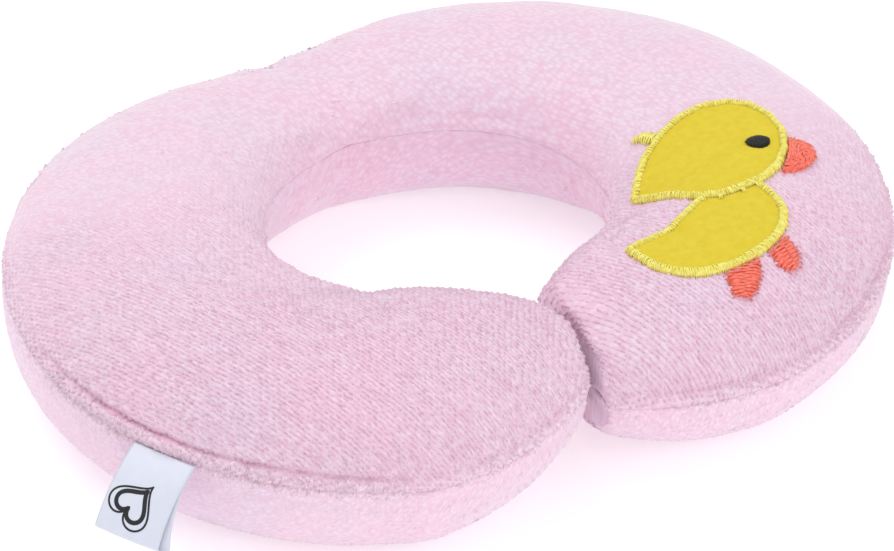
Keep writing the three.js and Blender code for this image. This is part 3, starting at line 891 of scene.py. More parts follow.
def felt_material(name, color, shade):
    """Pressed felt: a matt mat of short crossing fibres."""
    material, tree, shader = new_material(name, color, FELT_FINISH, color)
    place = object_place(tree)
    mottle = math_node(tree, "MULTIPLY", noise_output(tree, place, *FELT_MOTTLE), MOTTLE_SHARE)
    fibre = noise_output(tree, scaled(tree, place, *FELT_STRETCH), *FELT_FIBRES)
    both = math_node(tree, "ADD", mottle, math_node(tree, "MULTIPLY", fibre, 1 - MOTTLE_SHARE))
    set_color(tree, shader, spread(tree, both, *FELT_EDGES), shade, color)
    bump(tree, shader, both, *FELT_RELIEF)
    return material


def thread_material(name, color, shade):
    """Shiny embroidery thread, with a little difference from strand to strand."""
    material, tree, shader = new_material(name, color, THREAD_FINISH, color)
    place = object_place(tree)
    strands = spread(tree, noise_output(tree, place, *STRAND_NOISE), *STRAND_EDGES)
    set_color(tree, shader, strands, shade, color)
    bump(tree, shader, noise_output(tree, place, STRAND_RELIEF_SCALE), *STRAND_RELIEF)
    return material


def satin_material():
    """White satin ribbon: a soft shine over a very fine twill."""
    material, tree, shader = new_material("satin_ribbon", SATIN, SATIN_FINISH)
    shader.inputs["Specular IOR Level"].default_value = SATIN_SPECULAR
    place = read_attribute(tree, "ribbon", "Vector")
    inputs = {"Vector": place, **TWILL}
    twill = add_node(tree, "ShaderNodeTexWave", inputs, bands_direction="DIAGONAL").outputs["Fac"]
    set_color(tree, shader, noise_output(tree, place, SHINE_SCALE), SATIN_SHADE, SATIN_SHINE)
    bump(tree, shader, twill, *TWILL_RELIEF)
    return material


def fibre_material():
    """Loose white polyester filling."""
    material, tree, shader = new_material("loose_fibre", FIBRE, FILLING_FINISH)
    curls = noise_output(tree, object_place(tree), *FILLING_NOISE)
    set_color(tree, shader, curls, FIBRE_SHADE, FIBRE_SHINE)
    bump(tree, shader, curls, *FILLING_RELIEF)
    return material


def backing_material():
    """The web of a cut-away embroidery backing."""
    material, tree, shader = new_material("cut_away_backing", BACKING, MATT_FINISH)
    bump(tree, shader, noise_output(tree, object_place(tree), *BACKING_NOISE), *BACKING_RELIEF)
    return material


# ---- pieces of the frame -----------------------------------------------------------------------------


def place_piece(obj, body, slot, *nodes):
    """The piece rides on a body and stands for CAD nodes, which it hides; its record slot is not used."""
    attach(obj, body)
    if nodes:
        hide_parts(*nodes)


def add_attribute(obj, name, vectors):
    attribute = obj.data.attributes.new(name, "FLOAT_VECTOR", "POINT")
    attribute.data.foreach_set("vector", np.asarray(vectors, np.float32).ravel())


def grain_of(points, length):
    """The flat cloth's own coordinates: x along the plush rows and y across them."""
    outer, inner = points[:, 0, :2], points[:, -1, :2]
    across = outer - inner
    size = np.linalg.norm(across, axis=1)
    good = np.flatnonzero(size > NARROW_ROW)
    rows = np.arange(len(size))
    across = np.stack([np.interp(rows, good, across[good, k] / size[good]) for k in (0, 1)], -1)
    flat = ((outer + inner) / 2)[:, None] - across[:, None] * length[..., None]
    cos, sin = math.cos(ROW_ANGLE), math.sin(ROW_ANGLE)
    flat = flat @ np.array([[cos, -sin], [sin, cos]])
    return np.concatenate([flat, np.zeros_like(flat[..., :1])], -1)


def turned_in(points, lift):
    """The panel with its edges turned in along both seams."""
    outer, inner = points[:, 0], points[:, -1]
    inward = (inner - outer) * np.array([1, 1, 0])
    span = np.linalg.norm(inward, axis=1, keepdims=True)
    inward = inward / np.maximum(span, 1e-6)
    rows = []
    for reach in TURNED_IN[::-1]:
        rows.append(outer + inward * np.minimum(reach, TURNED_IN_MOST * span) + np.array([0, 0, lift]))
    for reach in TURNED_IN:
        rows.append(inner - inward * np.minimum(reach, TURNED_IN_MOST * span) + np.array([0, 0, lift]))
    rows = [row[:, None] for row in rows]
    return np.concatenate([rows[0], rows[1], points, rows[2], rows[3]], 1)


def with_edges(values):
    """Values across a panel, repeated for the edges that turn in."""
    return np.concatenate([values[:, :1]] * 2 + [values] + [values[:, -1:]] * 2, 1)


def build_panel(pillow, name, node, upper, material):
    points = pillow.panel(upper, pillow.grid)
    grain = grain_of(points, pillow.panel_length(upper))
    valley_shade = pillow.panel(upper, pillow.valley_shade)
    whole = turned_in(points, TURNED_IN_LIFT if upper else -TURNED_IN_LIFT)
    rows, columns = whole.shape[:2]
    obj = make_object(name, whole.reshape(-1, 3), grid_faces(rows, columns), material)
    add_attribute(obj, "grain", with_edges(grain).reshape(-1, 3))
    # The valley's mask, for painted shade.
    add_attribute(obj, "valley_shade", np.repeat(with_edges(valley_shade).reshape(-1, 1), 3, 1))
    place_piece(obj, "pillow", "plush", node)
    return obj


# ---- the plush's tufts -------------------------------------------------------------------------------


def add_tufts(shape, root, axis, normal, length, width, rise, shading):
    """Tufts as grains of six faces: low at the root, widest before the middle, highest after it.

    The result is a normal for each point, near the cloth's own and tilted by the shading to its sides."""
    side = np.cross(normal, axis)
    points = [
        root
        + axis * (length * along)[:, None]
        + side * (width * across)[:, None]
        + normal * (rise * up - TUFT_SUNK)[:, None]
        for along, across, up in TUFT_FORM
    ]
    every = np.array(TUFT_FACES) + np.arange(len(root))[:, None, None] * len(TUFT_FORM)
    shape.add(np.stack(points, 1), every.reshape(-1, 3).tolist())
    tilt = np.broadcast_to(shading, len(root))[:, None]
    soft = [normal - axis * tilt, normal + side * tilt, normal - side * tilt, normal, normal + axis * tilt]
    return np.stack(soft, 1).reshape(-1, 3)


def soften(obj, normals):
    """Shades tufts with normals near the cloth's, as light scatters from one to the next."""
    normals = normals / np.linalg.norm(normals, axis=1, keepdims=True)
    obj.data.normals_split_custom_set_from_vertices(normals.tolist())


def cloth_places(points, grain):
    """Places of tufts in rows on the cloth: each with its row's way, the cloth's scale, and its cell."""
    flat = grain.reshape(-1, 3)
    columns = points.shape[1]
    faces = grid_faces(*points.shape[:2])
    tree = BVHTree.FromPolygons([Vector(p) for p in flat], faces)
    solid = points.reshape(-1, 3)
    low, high = flat.min(0), flat.max(0)
    found = []
    for k, y in enumerate(np.arange(low[1], high[1], ROW_PITCH)):
        for x in np.arange(low[0] + (k % 2) * TUFT_LENGTH / 2, high[0], TUFT_LENGTH):
            dx, dy = rng.uniform(-TUFT_JITTER, TUFT_JITTER, 2)
            at = Vector((x + dx * TUFT_LENGTH, y + dy * ROW_PITCH, OVER_CLOTH))
            hit, _, index, _ = tree.ray_cast(at, DOWN)
            if hit is not None:
                found.append((index, hit.x, hit.y))
    index = np.array([f[0] for f in found])
    target = np.array([f[1:] for f in found])
    corners = np.array(faces)[index]
    a, b, d = (flat[corners[:, k], :2] for k in (0, 1, 3))
    across, along = b - a, d - a
    wide = across[:, 0] * along[:, 1] - across[:, 1] * along[:, 0]
    wide = np.where(np.abs(wide) < 1e-6, 1e-6, wide)
    away = target - a
    s = (away[:, 0] * along[:, 1] - away[:, 1] * along[:, 0]) / wide
    t = (across[:, 0] * away[:, 1] - across[:, 1] * away[:, 0]) / wide
    run = np.stack([along[:, 1] / wide, -across[:, 1] / wide], -1)
    start = solid[corners[:, 0]]
    first, second = solid[corners[:, 1]] - start, solid[corners[:, 3]] - start
    place = start + first * s[:, None] + second * t[:, None]
    axis = first * run[:, :1] + second * run[:, 1:]
    scale = np.linalg.norm(axis, axis=1)
    axis /= np.maximum(scale, 1e-9)[:, None]
    return place, axis, scale, corners[:, 0] // columns, corners[:, 0] % columns


def build_tufts(pillow, name, upper, material):
    """Short leaning tufts in rows over a whole panel; beside the seam they are shorter and stand up."""
    points = pillow.panel(upper, pillow.grid)
    grain = grain_of(points, pillow.panel_length(upper))
    place, axis, scale, row, column = cloth_places(points, grain)
    normal = pillow.panel(upper, pillow.normal)[row, column]
    distance = pillow.panel(upper, pillow.distance)[row, column]
    valley_shade = pillow.panel(upper, pillow.valley_shade)[row, column]
    fair = (scale > FAIR_SCALE[0]) & (scale < FAIR_SCALE[1]) & (place[:, 2] > LOWEST_TUFT)
    place, axis, normal, distance, valley_shade = (v[fair] for v in (place, axis, normal, distance, valley_shade))
    count = len(place)
    axis = axis - normal * (axis * normal).sum(1, keepdims=True)
    turned = axis + np.cross(normal, axis) * rng.normal(0, TUFT_SWAY, (count, 1))
    axis = turned / np.linalg.norm(turned, axis=1, keepdims=True)
    shape = Shape()
    length = TUFT_LENGTH * rng.uniform(*TUFT_LENGTHS, count) * np.interp(distance, *SEAM_TUFT_LENGTH)
    drift = BRUSHED_DRIFT[0] * value_noise(place, BRUSHED_DRIFT[1], BRUSH_SEED)
    smooth = np.interp(place @ BRUSHED_WAY + drift, *BRUSHED_SMOOTH)
    if not upper:
        smooth = np.maximum(smooth, LOWER_PANEL_SMOOTH)
    width = ROW_PITCH * rng.uniform(*TUFT_WIDTHS, count) * np.interp(smooth, (0, 1), BRUSHED_WIDTH)
    more, near_seam, reach = SEAM_TUFT_RISE
    rise = TUFT_RISE * rng.uniform(*TUFT_RISES, count) * (1 + more * bell(distance, near_seam, reach))
    rise *= np.interp(smooth, (0, 1), BRUSHED_RISE)
    shading = TUFT_SHADING * np.interp(smooth, (0, 1), BRUSHED_SHADING)
    soft = add_tufts(shape, place, axis, normal, length, width, rise, shading)
    obj = shape.build(name, material)
    soften(obj, soft)
    # The valley's mask for painted shade, and how smooth the nap is, which takes away the tufts' painted
    # root shade.
    for kind, values in (("valley_shade", valley_shade), ("smooth", smooth)):
        add_attribute(obj, kind, np.repeat(values, 3 * len(TUFT_FORM)).reshape(-1, 3))
    place_piece(obj, "pillow", "plush")


# ---- threads and patches -----------------------------------------------------------------------------


class Shape:
    """Points and faces gathered from several sources into one mesh."""

    def __init__(self):
        self.points = []
        self.faces = []
        self.count = 0

    def add(self, points, faces):
        points = np.asarray(points, float).reshape(-1, 3)
        self.faces += [[corner + self.count for corner in face] for face in faces]
        self.points.append(points)
        self.count += len(points)

    def add_threads(self, paths, width, height, sides=5):
        """Round threads along paths of equally many points, thinner at their ends."""
        paths = np.asarray(paths, float)
        tangent = np.gradient(paths, axis=1)
        tangent /= np.maximum(np.linalg.norm(tangent, axis=-1, keepdims=True), 1e-9)
        side = np.cross(tangent, np.array([0, 0, 1.0]))
        side /= np.maximum(np.linalg.norm(side, axis=-1, keepdims=True), 1e-9)
        over = np.cross(side, tangent)
        steps = paths.shape[1]
        rising = np.sin(np.linspace(THREAD_END, 1, steps) * math.pi / 2)
        taper = rising * rising[::-1]
        taper = (taper / taper.max()) ** THREAD_TAPER
        turn = np.arange(sides) * 2 * math.pi / sides
        ring = np.cos(turn)[:, None] * width / 2, np.sin(turn)[:, None] * height / 2
        points = paths[:, :, None] + taper[None, :, None, None] * (
            ring[0] * side[:, :, None] + ring[1] * over[:, :, None]
        )
        tube = grid_faces(steps, sides, closed=True)
        caps = [list(range(sides))[::-1], [(steps - 1) * sides + k for k in range(sides)]]
        for thread in points:
            self.add(thread, tube + caps)

    def build(self, name, material, smooth=True):
        return make_object(name, np.concatenate(self.points), self.faces, material, smooth)


def plan_outline(node, spacing, softness):
    """A CAD piece's outline in plan, anticlockwise, evenly spaced and a little rounded."""
    mesh = frame["nodes"][node].data
    uses = {}
    for face in mesh.polygons:
        if face.normal.z < TOP_FACE:
            continue
        corners = [tuple(round(v / MM, 3) for v in mesh.vertices[i].co) for i in face.vertices]
        for a, b in zip(corners, corners[1:] + corners[:1]):
            uses[(a, b)] = uses.get((a, b), 0) + 1
    rim = {a: b for a, b in uses if (b, a) not in uses}
    loops = []
    while rim:
        start = next(iter(rim))
        loop = [start]
        while loop[-1] in rim:
            loop.append(rim.pop(loop[-1]))
        loops.append(np.array(loop)[:-1, :2])
    loop = max(loops, key=len)
    closed = np.concatenate([loop, loop[:1]])
    length = np.concatenate([[0], np.cumsum(np.linalg.norm(np.diff(closed, axis=0), axis=1))])
    count = int(length[-1] / spacing)
    even = np.linspace(0, length[-1], count, endpoint=False)
    points = np.stack([np.interp(even, length, closed[:, k]) for k in (0, 1)], -1)
    reach = int(3 * softness / spacing) + 1
    weights = np.exp(-0.5 * (np.arange(-reach, reach + 1) * spacing / softness) ** 2)
    weights /= weights.sum()
    return sum(w * np.roll(points, k - reach, 0) for k, w in enumerate(weights))


def outline_normals(points):
    """Unit normals of a closed outline, facing out."""
    along = np.roll(points, -1, 0) - np.roll(points, 1, 0)
    along /= np.linalg.norm(along, axis=1, keepdims=True)
    return np.stack([along[:, 1], -along[:, 0]], -1)


def inside_of(points, outline):
    """Which points lie inside a closed outline."""
    a, b = outline, np.roll(outline, -1, 0)
    x, y = points[:, :1], points[:, 1:]
    crosses = (a[:, 1] > y) != (b[:, 1] > y)
    rise = np.where(np.abs(b[:, 1] - a[:, 1]) < 1e-12, 1e-12, b[:, 1] - a[:, 1])
    left = x < (b[:, 0] - a[:, 0]) * (y - a[:, 1]) / rise + a[:, 0]
    return (crosses & left).sum(1) % 2 == 1


def distance_to(points, outline):
    return np.min(np.linalg.norm(points[:, None] - outline[None], axis=-1), axis=1)


class Surface:
    """Heights of the finished upper panel, for what is sewn on it."""

    def __init__(self, panel):
        points = [vertex.co / MM for vertex in panel.data.vertices]
        faces = [tuple(face.vertices) for face in panel.data.polygons]
        self.tree = BVHTree.FromPolygons(points, faces)

    def at(self, plan, over):
        """Points at heights over the plush along its normals, for plan points of any shape."""
        plan = np.asarray(plan, float)
        flat = plan.reshape(-1, 2)
        over = np.broadcast_to(over, plan.shape[:-1]).reshape(-1)
        found = []
        for (x, y), lift in zip(flat, over):
            place, normal, _, _ = self.tree.ray_cast(Vector((x, y, OVER_PILLOW)), DOWN)
            found.append(place + normal * lift)
        return np.array(found).reshape(*plan.shape[:-1], 3)


def add_patch(shape, surface, outline, lift):
    """A closed raised patch with that outline; lift gives its height from the distance to its edge."""
    low, high = outline.min(0), outline.max(0)
    rows = []
    for k, y in enumerate(np.arange(low[1], high[1], PATCH_PITCH * TRIANGLE_HEIGHT)):
        x = np.arange(low[0] + (k % 2) * PATCH_PITCH / 2, high[0], PATCH_PITCH)
        rows.append(np.column_stack([x, np.full(len(x), y)]))
    inner = np.concatenate(rows)
    inner = inner[inside_of(inner, outline)]
    inner = inner[distance_to(inner, outline) > PATCH_PITCH * PATCH_CLEARANCE]
    plan = np.concatenate([outline, inner])
    rim = len(outline)
    edges = [(i, (i + 1) % rim) for i in range(rim)]
    found = delaunay_2d_cdt([Vector(p) for p in plan], edges, [], INSIDE_ONLY, 1e-5)
    plan = np.array([tuple(v) for v in found[0]])
    distance = distance_to(plan, outline)
    top = surface.at(plan, lift(distance, plan))
    under = surface.at(plan, PATCH_UNDERSIDE)
    base = len(plan)
    faces = [list(face) for face in found[2]]
    faces += [[base + corner for corner in face[::-1]] for face in faces]
    order = {tuple(np.round(p, 4)): i for i, p in enumerate(plan)}
    ring = [order.get(tuple(np.round(p, 4))) for p in outline]
    for i in range(rim):
        j = (i + 1) % rim
        if ring[i] is not None and ring[j] is not None:
            faces.append([ring[j], ring[i], base + ring[i], base + ring[j]])
    shape.add(np.concatenate([top, under]), faces)


def crossing_stitches(outline, angle, spacing, over_edge, sway):
    """Straight stitches across an outline: pairs of end points, in rows at that spacing and angle."""
    turn = np.array([[math.cos(angle), -math.sin(angle)], [math.sin(angle), math.cos(angle)]])
    local = outline @ turn
    pairs = []
    for k, y in enumerate(np.arange(local[:, 1].min() + spacing / 2, local[:, 1].max(), spacing)):
        a, b = local, np.roll(local, -1, 0)
        cut = (a[:, 1] > y) != (b[:, 1] > y)
        if cut.sum() < 2:
            continue
        x = a[cut, 0] + (y - a[cut, 1]) / (b[cut, 1] - a[cut, 1]) * (b[cut, 0] - a[cut, 0])
        reach = over_edge * rng.uniform(*OVERREACH, 2)
        lean = sway * (1 if k % 2 else -1)
        start = np.array([x.min() - reach[0], y - lean])
        end = np.array([x.max() + reach[1], y + lean])
        pairs.append(np.array([start, end]) @ turn.T)
    return pairs


def arched(surface, ends, heights):
    """Threads from end to end over the plush, with heights at both ends and in the middle."""
    ends = np.asarray(ends, float)
    share = np.linspace(0, 1, ARCH_STEPS)[None, :, None]
    plan = ends[:, :1] * (1 - share) + ends[:, 1:] * share
    first, middle, last = heights
    part = share[0, :, 0]
    edge = first * (1 - part) + last * part
    bow = (1 - np.abs(2 * part - 1) ** ARCH_ROUNDNESS) * (middle - (first + last) / 2)
    lift = (edge + bow)[None] + rng.uniform(-ARCH_UNEVENNESS, ARCH_UNEVENNESS, (len(ends), 1))
    return surface.at(plan, lift)


def runs_of(kept):
    """Index runs of a closed outline's kept points, each with whether it goes all the way round."""
    count = len(kept)
    if kept.all():
        return [(np.arange(count), True)]
    start = int(np.flatnonzero(~kept)[0])
    order = (np.arange(count) + start) % count
    runs, run = [], []
    for index in order:
        if kept[index]:
            run.append(index)
        elif run:
            runs.append((np.array(run), False))
            run = []
    if run:
        runs.append((np.array(run), False))
    return [(index, closed) for index, closed in runs if len(index) >= SHORTEST_RUN]


def add_border(shape, surface, outline, kept, inside, outside):
    """A satin border: a padded ridge along the outline with threads wrapped across it."""
    normal = outline_normals(outline)
    inside = np.broadcast_to(inside, len(outline))
    outside = np.broadcast_to(outside, len(outline))
    for index, closed in runs_of(kept):
        columns = []
        for across, lift in BORDER_PROFILE:
            reach = (outside if across > 0 else inside)[index] * across
            columns.append(surface.at(outline[index] + normal[index] * reach[:, None], lift))
        ridge = np.stack(columns, 1)
        rows = len(index)
        if closed:
            ridge = np.concatenate([ridge, ridge[:1]])
            rows += 1
        faces = [face[::-1] for face in grid_faces(rows, len(BORDER_PROFILE), closed=True)]
        if not closed:
            size = len(BORDER_PROFILE)
            faces += [list(range(size)), [(rows - 1) * size + k for k in range(size)][::-1]]
        shape.add(ridge, faces)
    ends = []
    for i in np.flatnonzero(kept):
        slant = rng.normal(0, BORDER_SLANT[1], 2)
        near = outline[i] - normal[i] * (inside[i] + rng.uniform(*BORDER_NEAR))
        far = outline[i] + normal[i] * (outside[i] + rng.uniform(*BORDER_FAR))
        along = np.array([-normal[i][1], normal[i][0]])
        ends.append([near + along * slant[0], far + along * (BORDER_SLANT[0] + slant[1])])
    shape.add_threads(arched(surface, ends, BORDER_ARCH), *BORDER_THREAD)


def build_patch(name, slot, node, surface, outline, material):
    shape = Shape()
    edge, middle, reach = FELT_LIFT

    def lift(distance, plan):
        uneven = value_noise(np.c_[plan, np.zeros(len(plan))], FELT_UNEVENNESS[1], FELT_SEED)
        return edge + middle * (1 - np.exp(-distance / reach)) + FELT_UNEVENNESS[0] * uneven

    add_patch(shape, surface, outline, lift)
    place_piece(shape.build(name, material), "pillow", slot, node)


def build_filled(name, slot, node, surface, outline, material, stitches):
    """An area of parallel stitches over a thin pad of the same thread."""
    angle, spacing, heights, over_edge, sway = stitches
    first, middle, _ = heights

    def lift(distance, _):
        return first + (middle - first) * np.tanh(distance / PAD_RISE) - PAD_SUNK

    shape = Shape()
    add_patch(shape, surface, outline - outline_normals(outline) * PAD_INSET, lift)
    pairs = crossing_stitches(outline, angle, spacing, over_edge, sway)
    shape.add_threads(arched(surface, pairs, heights), spacing * FILL_OVERLAP, FILL_HEIGHT)
    place_piece(shape.build(name, material), "pillow", slot, node)


def add_loose_tails(shape, surface, starts, ends):
    """Short stray threads, each a slack curve."""
    share = np.linspace(0, 1, TAIL_STEPS)[:, None]
    bow = np.sin(share * math.pi)
    for start, end in zip(starts, ends):
        side = np.array([-(end - start)[1], (end - start)[0]]) * rng.uniform(*TAIL_SLACK)
        plan = start * (1 - share) + end * share + side * bow
        lift = TAIL_LIFT * (TAIL_END_LIFT + bow[:, 0])
        shape.add_threads([surface.at(plan, lift)], *TAIL_THREAD)


def build_duck(surface):
    felt = felt_material("yellow_felt", FELT, FELT_SHADE)
    yellow = thread_material("yellow_thread", YELLOW_THREAD, YELLOW_THREAD_SHADE)
    coral = thread_material("coral_thread", CORAL_THREAD, CORAL_THREAD_SHADE)
    black = thread_material("black_thread", BLACK_THREAD, BLACK_THREAD_SHADE)
    head = plan_outline("duck_head_patch", STITCH_PITCH, FELT_SOFTNESS)
    body = plan_outline("duck_body_patch", STITCH_PITCH, FELT_SOFTNESS)
    build_patch("head_felt", "felt", "duck_head_patch", surface, head, felt)
    build_patch("body_felt", "felt", "duck_body_patch", surface, body, felt)

    edge = Shape()
    add_border(edge, surface, head, np.ones(len(head), bool), *HEAD_BORDER)
    place_piece(edge.build("head_border", yellow), "pillow", "yellow_thread", "head_satin_border")

    # The body's border is widest at the lower right, and stops at the head's.
    edge = Shape()
    normal = outline_normals(body)
    heavy = BODY_HEAVINESS * np.clip(normal @ BODY_HEAVY_SIDE + BODY_HEAVY_REACH, 0, 1)
    kept = distance_to(body, head) > BORDER_CLEARANCE
    add_border(edge, surface, body, kept, BODY_BORDER[0] + heavy, BODY_BORDER[1])
    place_piece(edge.build("body_border", yellow), "pillow", "yellow_thread", "body_satin_border")

    tuft = plan_outline("head_tuft", *TUFT_OUTLINE) + HEAD_TUFT_SHIFT
    build_filled("tuft_stitches", "yellow_thread", "head_tuft", surface, tuft, yellow, TUFT_STITCHES)
    eye = plan_outline("eye", *EYE_OUTLINE)
    build_filled("eye_stitches", "black_thread", "eye", surface, eye, black, EYE_STITCHES)
    for node, turn in FOOT_TURNS.items():
        foot = plan_outline(node, *CORAL_OUTLINE)
        stitches = (turn, *FOOT_STITCHES)
        build_filled(f"{node}_stitches", "coral_thread", node, surface, foot, coral, stitches)
    build_beak(surface, coral)


def build_beak(surface, material):
    """Coral stitches that curl round the beak's middle, with thread tails at its lower corner."""
    outline = plan_outline("beak", *CORAL_OUTLINE)
    middle = outline.mean(0)
    edge, rise, reach = BEAK_PAD

    def lift(distance, _):
        return edge + rise * np.tanh(distance / reach)

    shape = Shape()
    add_patch(shape, surface, outline - outline_normals(outline) * BEAK_INSET, lift)
    ends = []
    for ring, count in BEAK_RINGS:
        for k in range(count):
            at = int((k + rng.uniform(*BEAK_SPREAD)) * len(outline) / count) % len(outline)
            after = (at + int(len(outline) * BEAK_CURL)) % len(outline)
            start = middle + (outline[at] - middle) * (ring + rng.uniform(*BEAK_STARTS))
            end = middle + (outline[after] - middle) * (ring - BEAK_INWARD + rng.uniform(*BEAK_ENDS))
            ends.append([start, end])
    ends = np.array(ends)
    away = np.linalg.norm(ends.mean(1) - middle, axis=1)
    paths = arched(surface, ends, BEAK_ARCH)
    paths[..., 2] += (BEAK_RISE[0] + BEAK_RISE[1] * (1 - (away / away.max()) ** 2))[:, None]
    shape.add_threads(paths, *BEAK_THREAD)
    tails = outline[np.argmin(outline @ BEAK_TAIL_SIDE)] + BEAK_TAIL_PLACES
    lengths = rng.uniform(*TAIL_LENGTHS, (len(tails), 1))
    add_loose_tails(shape, surface, tails, tails + BEAK_TAIL * lengths)
    place_piece(shape.build("beak_stitches", material), "pillow", "coral_thread", "beak")


# ---- pile along the seam -----------------------------------------------------------------------------


def seam_tufts(pillow, shape, upper, count):
    """Longer tufts combed in clumps over a panel's edge at the outer seam."""
    grid, normals = pillow.panel(upper, pillow.grid), pillow.panel(upper, pillow.normal)
    distance = pillow.panel(upper, pillow.distance)
    if not upper:
        grid, normals, distance = grid[:, ::-1], normals[:, ::-1], distance[:, ::-1]
    row = rng.uniform(SEAM_PILE_ENDS[0], len(grid) - SEAM_PILE_ENDS[1], count)
    i = row.astype(int)
    thickness = np.maximum(pillow.strength[i], SEAM_PILE_LEAST)
    thickness = thickness * np.interp(grid[i, 0, 1], *SEAM_PILE_THINS)
    row = row[rng.uniform(0, 1, count) < thickness]
    count = len(row)
    reach = SEAM_PILE_REACH * rng.beta(*SEAM_PILE_CROWDING, count)
    i = row.astype(int)
    column = (distance[i, :SEAM_COLUMNS] < reach[:, None]).sum(1)
    share = (row - i)[:, None]
    place = grid[i, column] * (1 - share) + grid[i + 1, column] * share
    normal = normals[i, column]
    along = grid[i + 1, column] - grid[i, column]
    along /= np.maximum(np.linalg.norm(along, axis=1, keepdims=True), 1e-9)
    out = grid[i, 0] - grid[i, SEAM_COLUMNS]
    out /= np.maximum(np.linalg.norm(out, axis=1, keepdims=True), 1e-9)
    clump = value_noise(place, CLUMP_SIZE, CLUMP_SEED)[:, None]
    axis = out + SEAM_PILE_CLUMPS * clump * along + rng.normal(0, SEAM_PILE_SWAY, (count, 3))
    axis -= normal * (axis * normal).sum(1, keepdims=True)
    axis /= np.linalg.norm(axis, axis=1, keepdims=True)
    length = SEAM_PILE_LENGTH * rng.uniform(*SEAM_PILE_LENGTHS, count) * (1 + CLUMP_LENGTH * clump[:, 0])
    width = rng.uniform(*SEAM_PILE_WIDTHS, count)
    rise = SEAM_PILE_RISE * rng.uniform(*SEAM_PILE_RISES, count)
    return add_tufts(shape, place, axis, normal, length, width, rise, SEAM_PILE_SHADING)


def build_seam_pile(pillow, material):
    for name, count in SEAM_TUFTS.items():
        shape = Shape()
        soft = seam_tufts(pillow, shape, name == "seam_pile_top", count)
        obj = shape.build(name, material)
        soften(obj, soft)
        place_piece(obj, "pillow", "plush")


# ---- the ribbon label --------------------------------------------------------------------------------


class LabelFrame:
    """The stitch line's frame: along the seam, outwards and up, from the label's hinge."""

    def __init__(self):
        hinge = frame["joints"][0]
        self.origin = np.array(hinge["pos_m"]) / MM
        self.along = np.array(hinge["axis"], float)
        self.along /= np.linalg.norm(self.along)
        outward = np.array([-self.along[1], self.along[0], 0])
        self.outward = outward / np.linalg.norm(outward)
        self.up = np.cross(self.along, self.outward)

    def at(self, across, out, up):
        across, out, up = (np.asarray(v)[..., None] for v in (across, out, up))
        return self.origin + across * self.along + out * self.outward + up * self.up


def label_path():
    """The hanging loop's middle line from the seam to the fold: out, up and slope, by equal steps."""
    share = (np.arange(LABEL_STEPS) + 0.5) / LABEL_STEPS
    slope = np.radians(LABEL_SLOPES[0] + (LABEL_SLOPES[1] - LABEL_SLOPES[0]) * share)
    step = LABEL_REACH / LABEL_STEPS
    out = np.concatenate([[0], np.cumsum(np.cos(slope) * step)])
    up = np.concatenate([[0], -np.cumsum(np.sin(slope) * step)])
    return out, up, np.concatenate([slope, slope[-1:]])


def label_layer(across, side):
    """Points of one ribbon layer, from the seam to the fold, on a side of the middle line: out and up."""
    out, up, slope = label_path()
    share = np.linspace(0, 1, LABEL_STEPS + 1)[:, None]
    width = across[None] / (LABEL_WIDTH / 2)
    parting = RIBBON_PARTING[0] + (RIBBON_PARTING[1] - RIBBON_PARTING[0]) * share**PARTING_GROWTH
    wave = LABEL_CURL * share * (width**2 - CURL_BALANCE) + LABEL_TWIST * share**2 * width
    lift = side * parting + wave
    return out[:, None] + np.sin(slope)[:, None] * lift, up[:, None] + np.cos(slope)[:, None] * lift


def label_grid(place, across):
    """The whole ribbon's middle surface: the top layer, the fold and the lower layer."""
    top_out, top_up = label_layer(across, 1)
    low_out, low_up = label_layer(across, -1)
    turns = np.radians(FOLD_TURNS)[:, None]
    radius = RIBBON_PARTING[1]
    slope = math.radians(LABEL_SLOPES[1])
    bend_out = np.sin(turns) * math.sin(slope) + np.cos(turns) * math.cos(slope)
    bend_up = np.sin(turns) * math.cos(slope) - np.cos(turns) * math.sin(slope)
    fold_out = (top_out[-1] + low_out[-1]) / 2 + radius * bend_out
    fold_up = (top_up[-1] + low_up[-1]) / 2 + radius * bend_up
    shift = LABEL_OFFSET * np.linspace(0, 1, LABEL_STEPS + 1)[:, None] ** 2
    folding = np.linspace(0, 1, len(turns))[:, None] * shift[-1]
    sideways = across[None] + np.concatenate([0 * shift, folding, shift[::-1]])
    out = np.concatenate([top_out, fold_out, low_out[::-1]])
    up = np.concatenate([top_up, fold_up, low_up[::-1]])
    return place.at(sideways, out, up)


def ribbon_faces(rows, size):
    """Faces of a closed ribbon, whose rows run over its outside and back over its inside."""
    ends = []
    for row in (0, (rows - 1) * size):
        first, last = row, row + size - 1
        strip = [[first + k, first + k + 1, last - k - 1, last - k] for k in range(size // 2 - 1)]
        ends += strip if row == 0 else [face[::-1] for face in strip]
    return grid_faces(rows, size, closed=True) + ends


def build_label():
    place = LabelFrame()
    across = np.linspace(-LABEL_WIDTH / 2, LABEL_WIDTH / 2, LABEL_COLUMNS)
    middle = label_grid(place, across)
    normal = normals_open(middle)
    outside = middle + normal * RIBBON_THICKNESS / 2
    inside = middle - normal * RIBBON_THICKNESS / 2
    both = np.concatenate([outside, inside[:, ::-1]], 1)
    shape = Shape()
    shape.add(both, ribbon_faces(*both.shape[:2]))
    ribbon = shape.build("ribbon_label", satin_material())
    steps = np.linalg.norm(np.diff(middle[:, LABEL_COLUMNS // 2], axis=0), axis=1)
    length = np.concatenate([[0], np.cumsum(steps)])
    flat = np.stack(np.broadcast_arrays(across[None], length[:, None], 0.0), -1)
    add_attribute(ribbon, "ribbon", np.concatenate([flat, flat[:, ::-1]], 1).reshape(-1, 3))

    front = slice(0, LABEL_STEPS + 1)
    prints = build_print(outside[front], normal[front], across, length[front])
    end = Vector(place.at(0, *LABEL_BEND) * MM)
    for obj in (ribbon, prints):
        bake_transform(obj)
    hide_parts("folded_label")


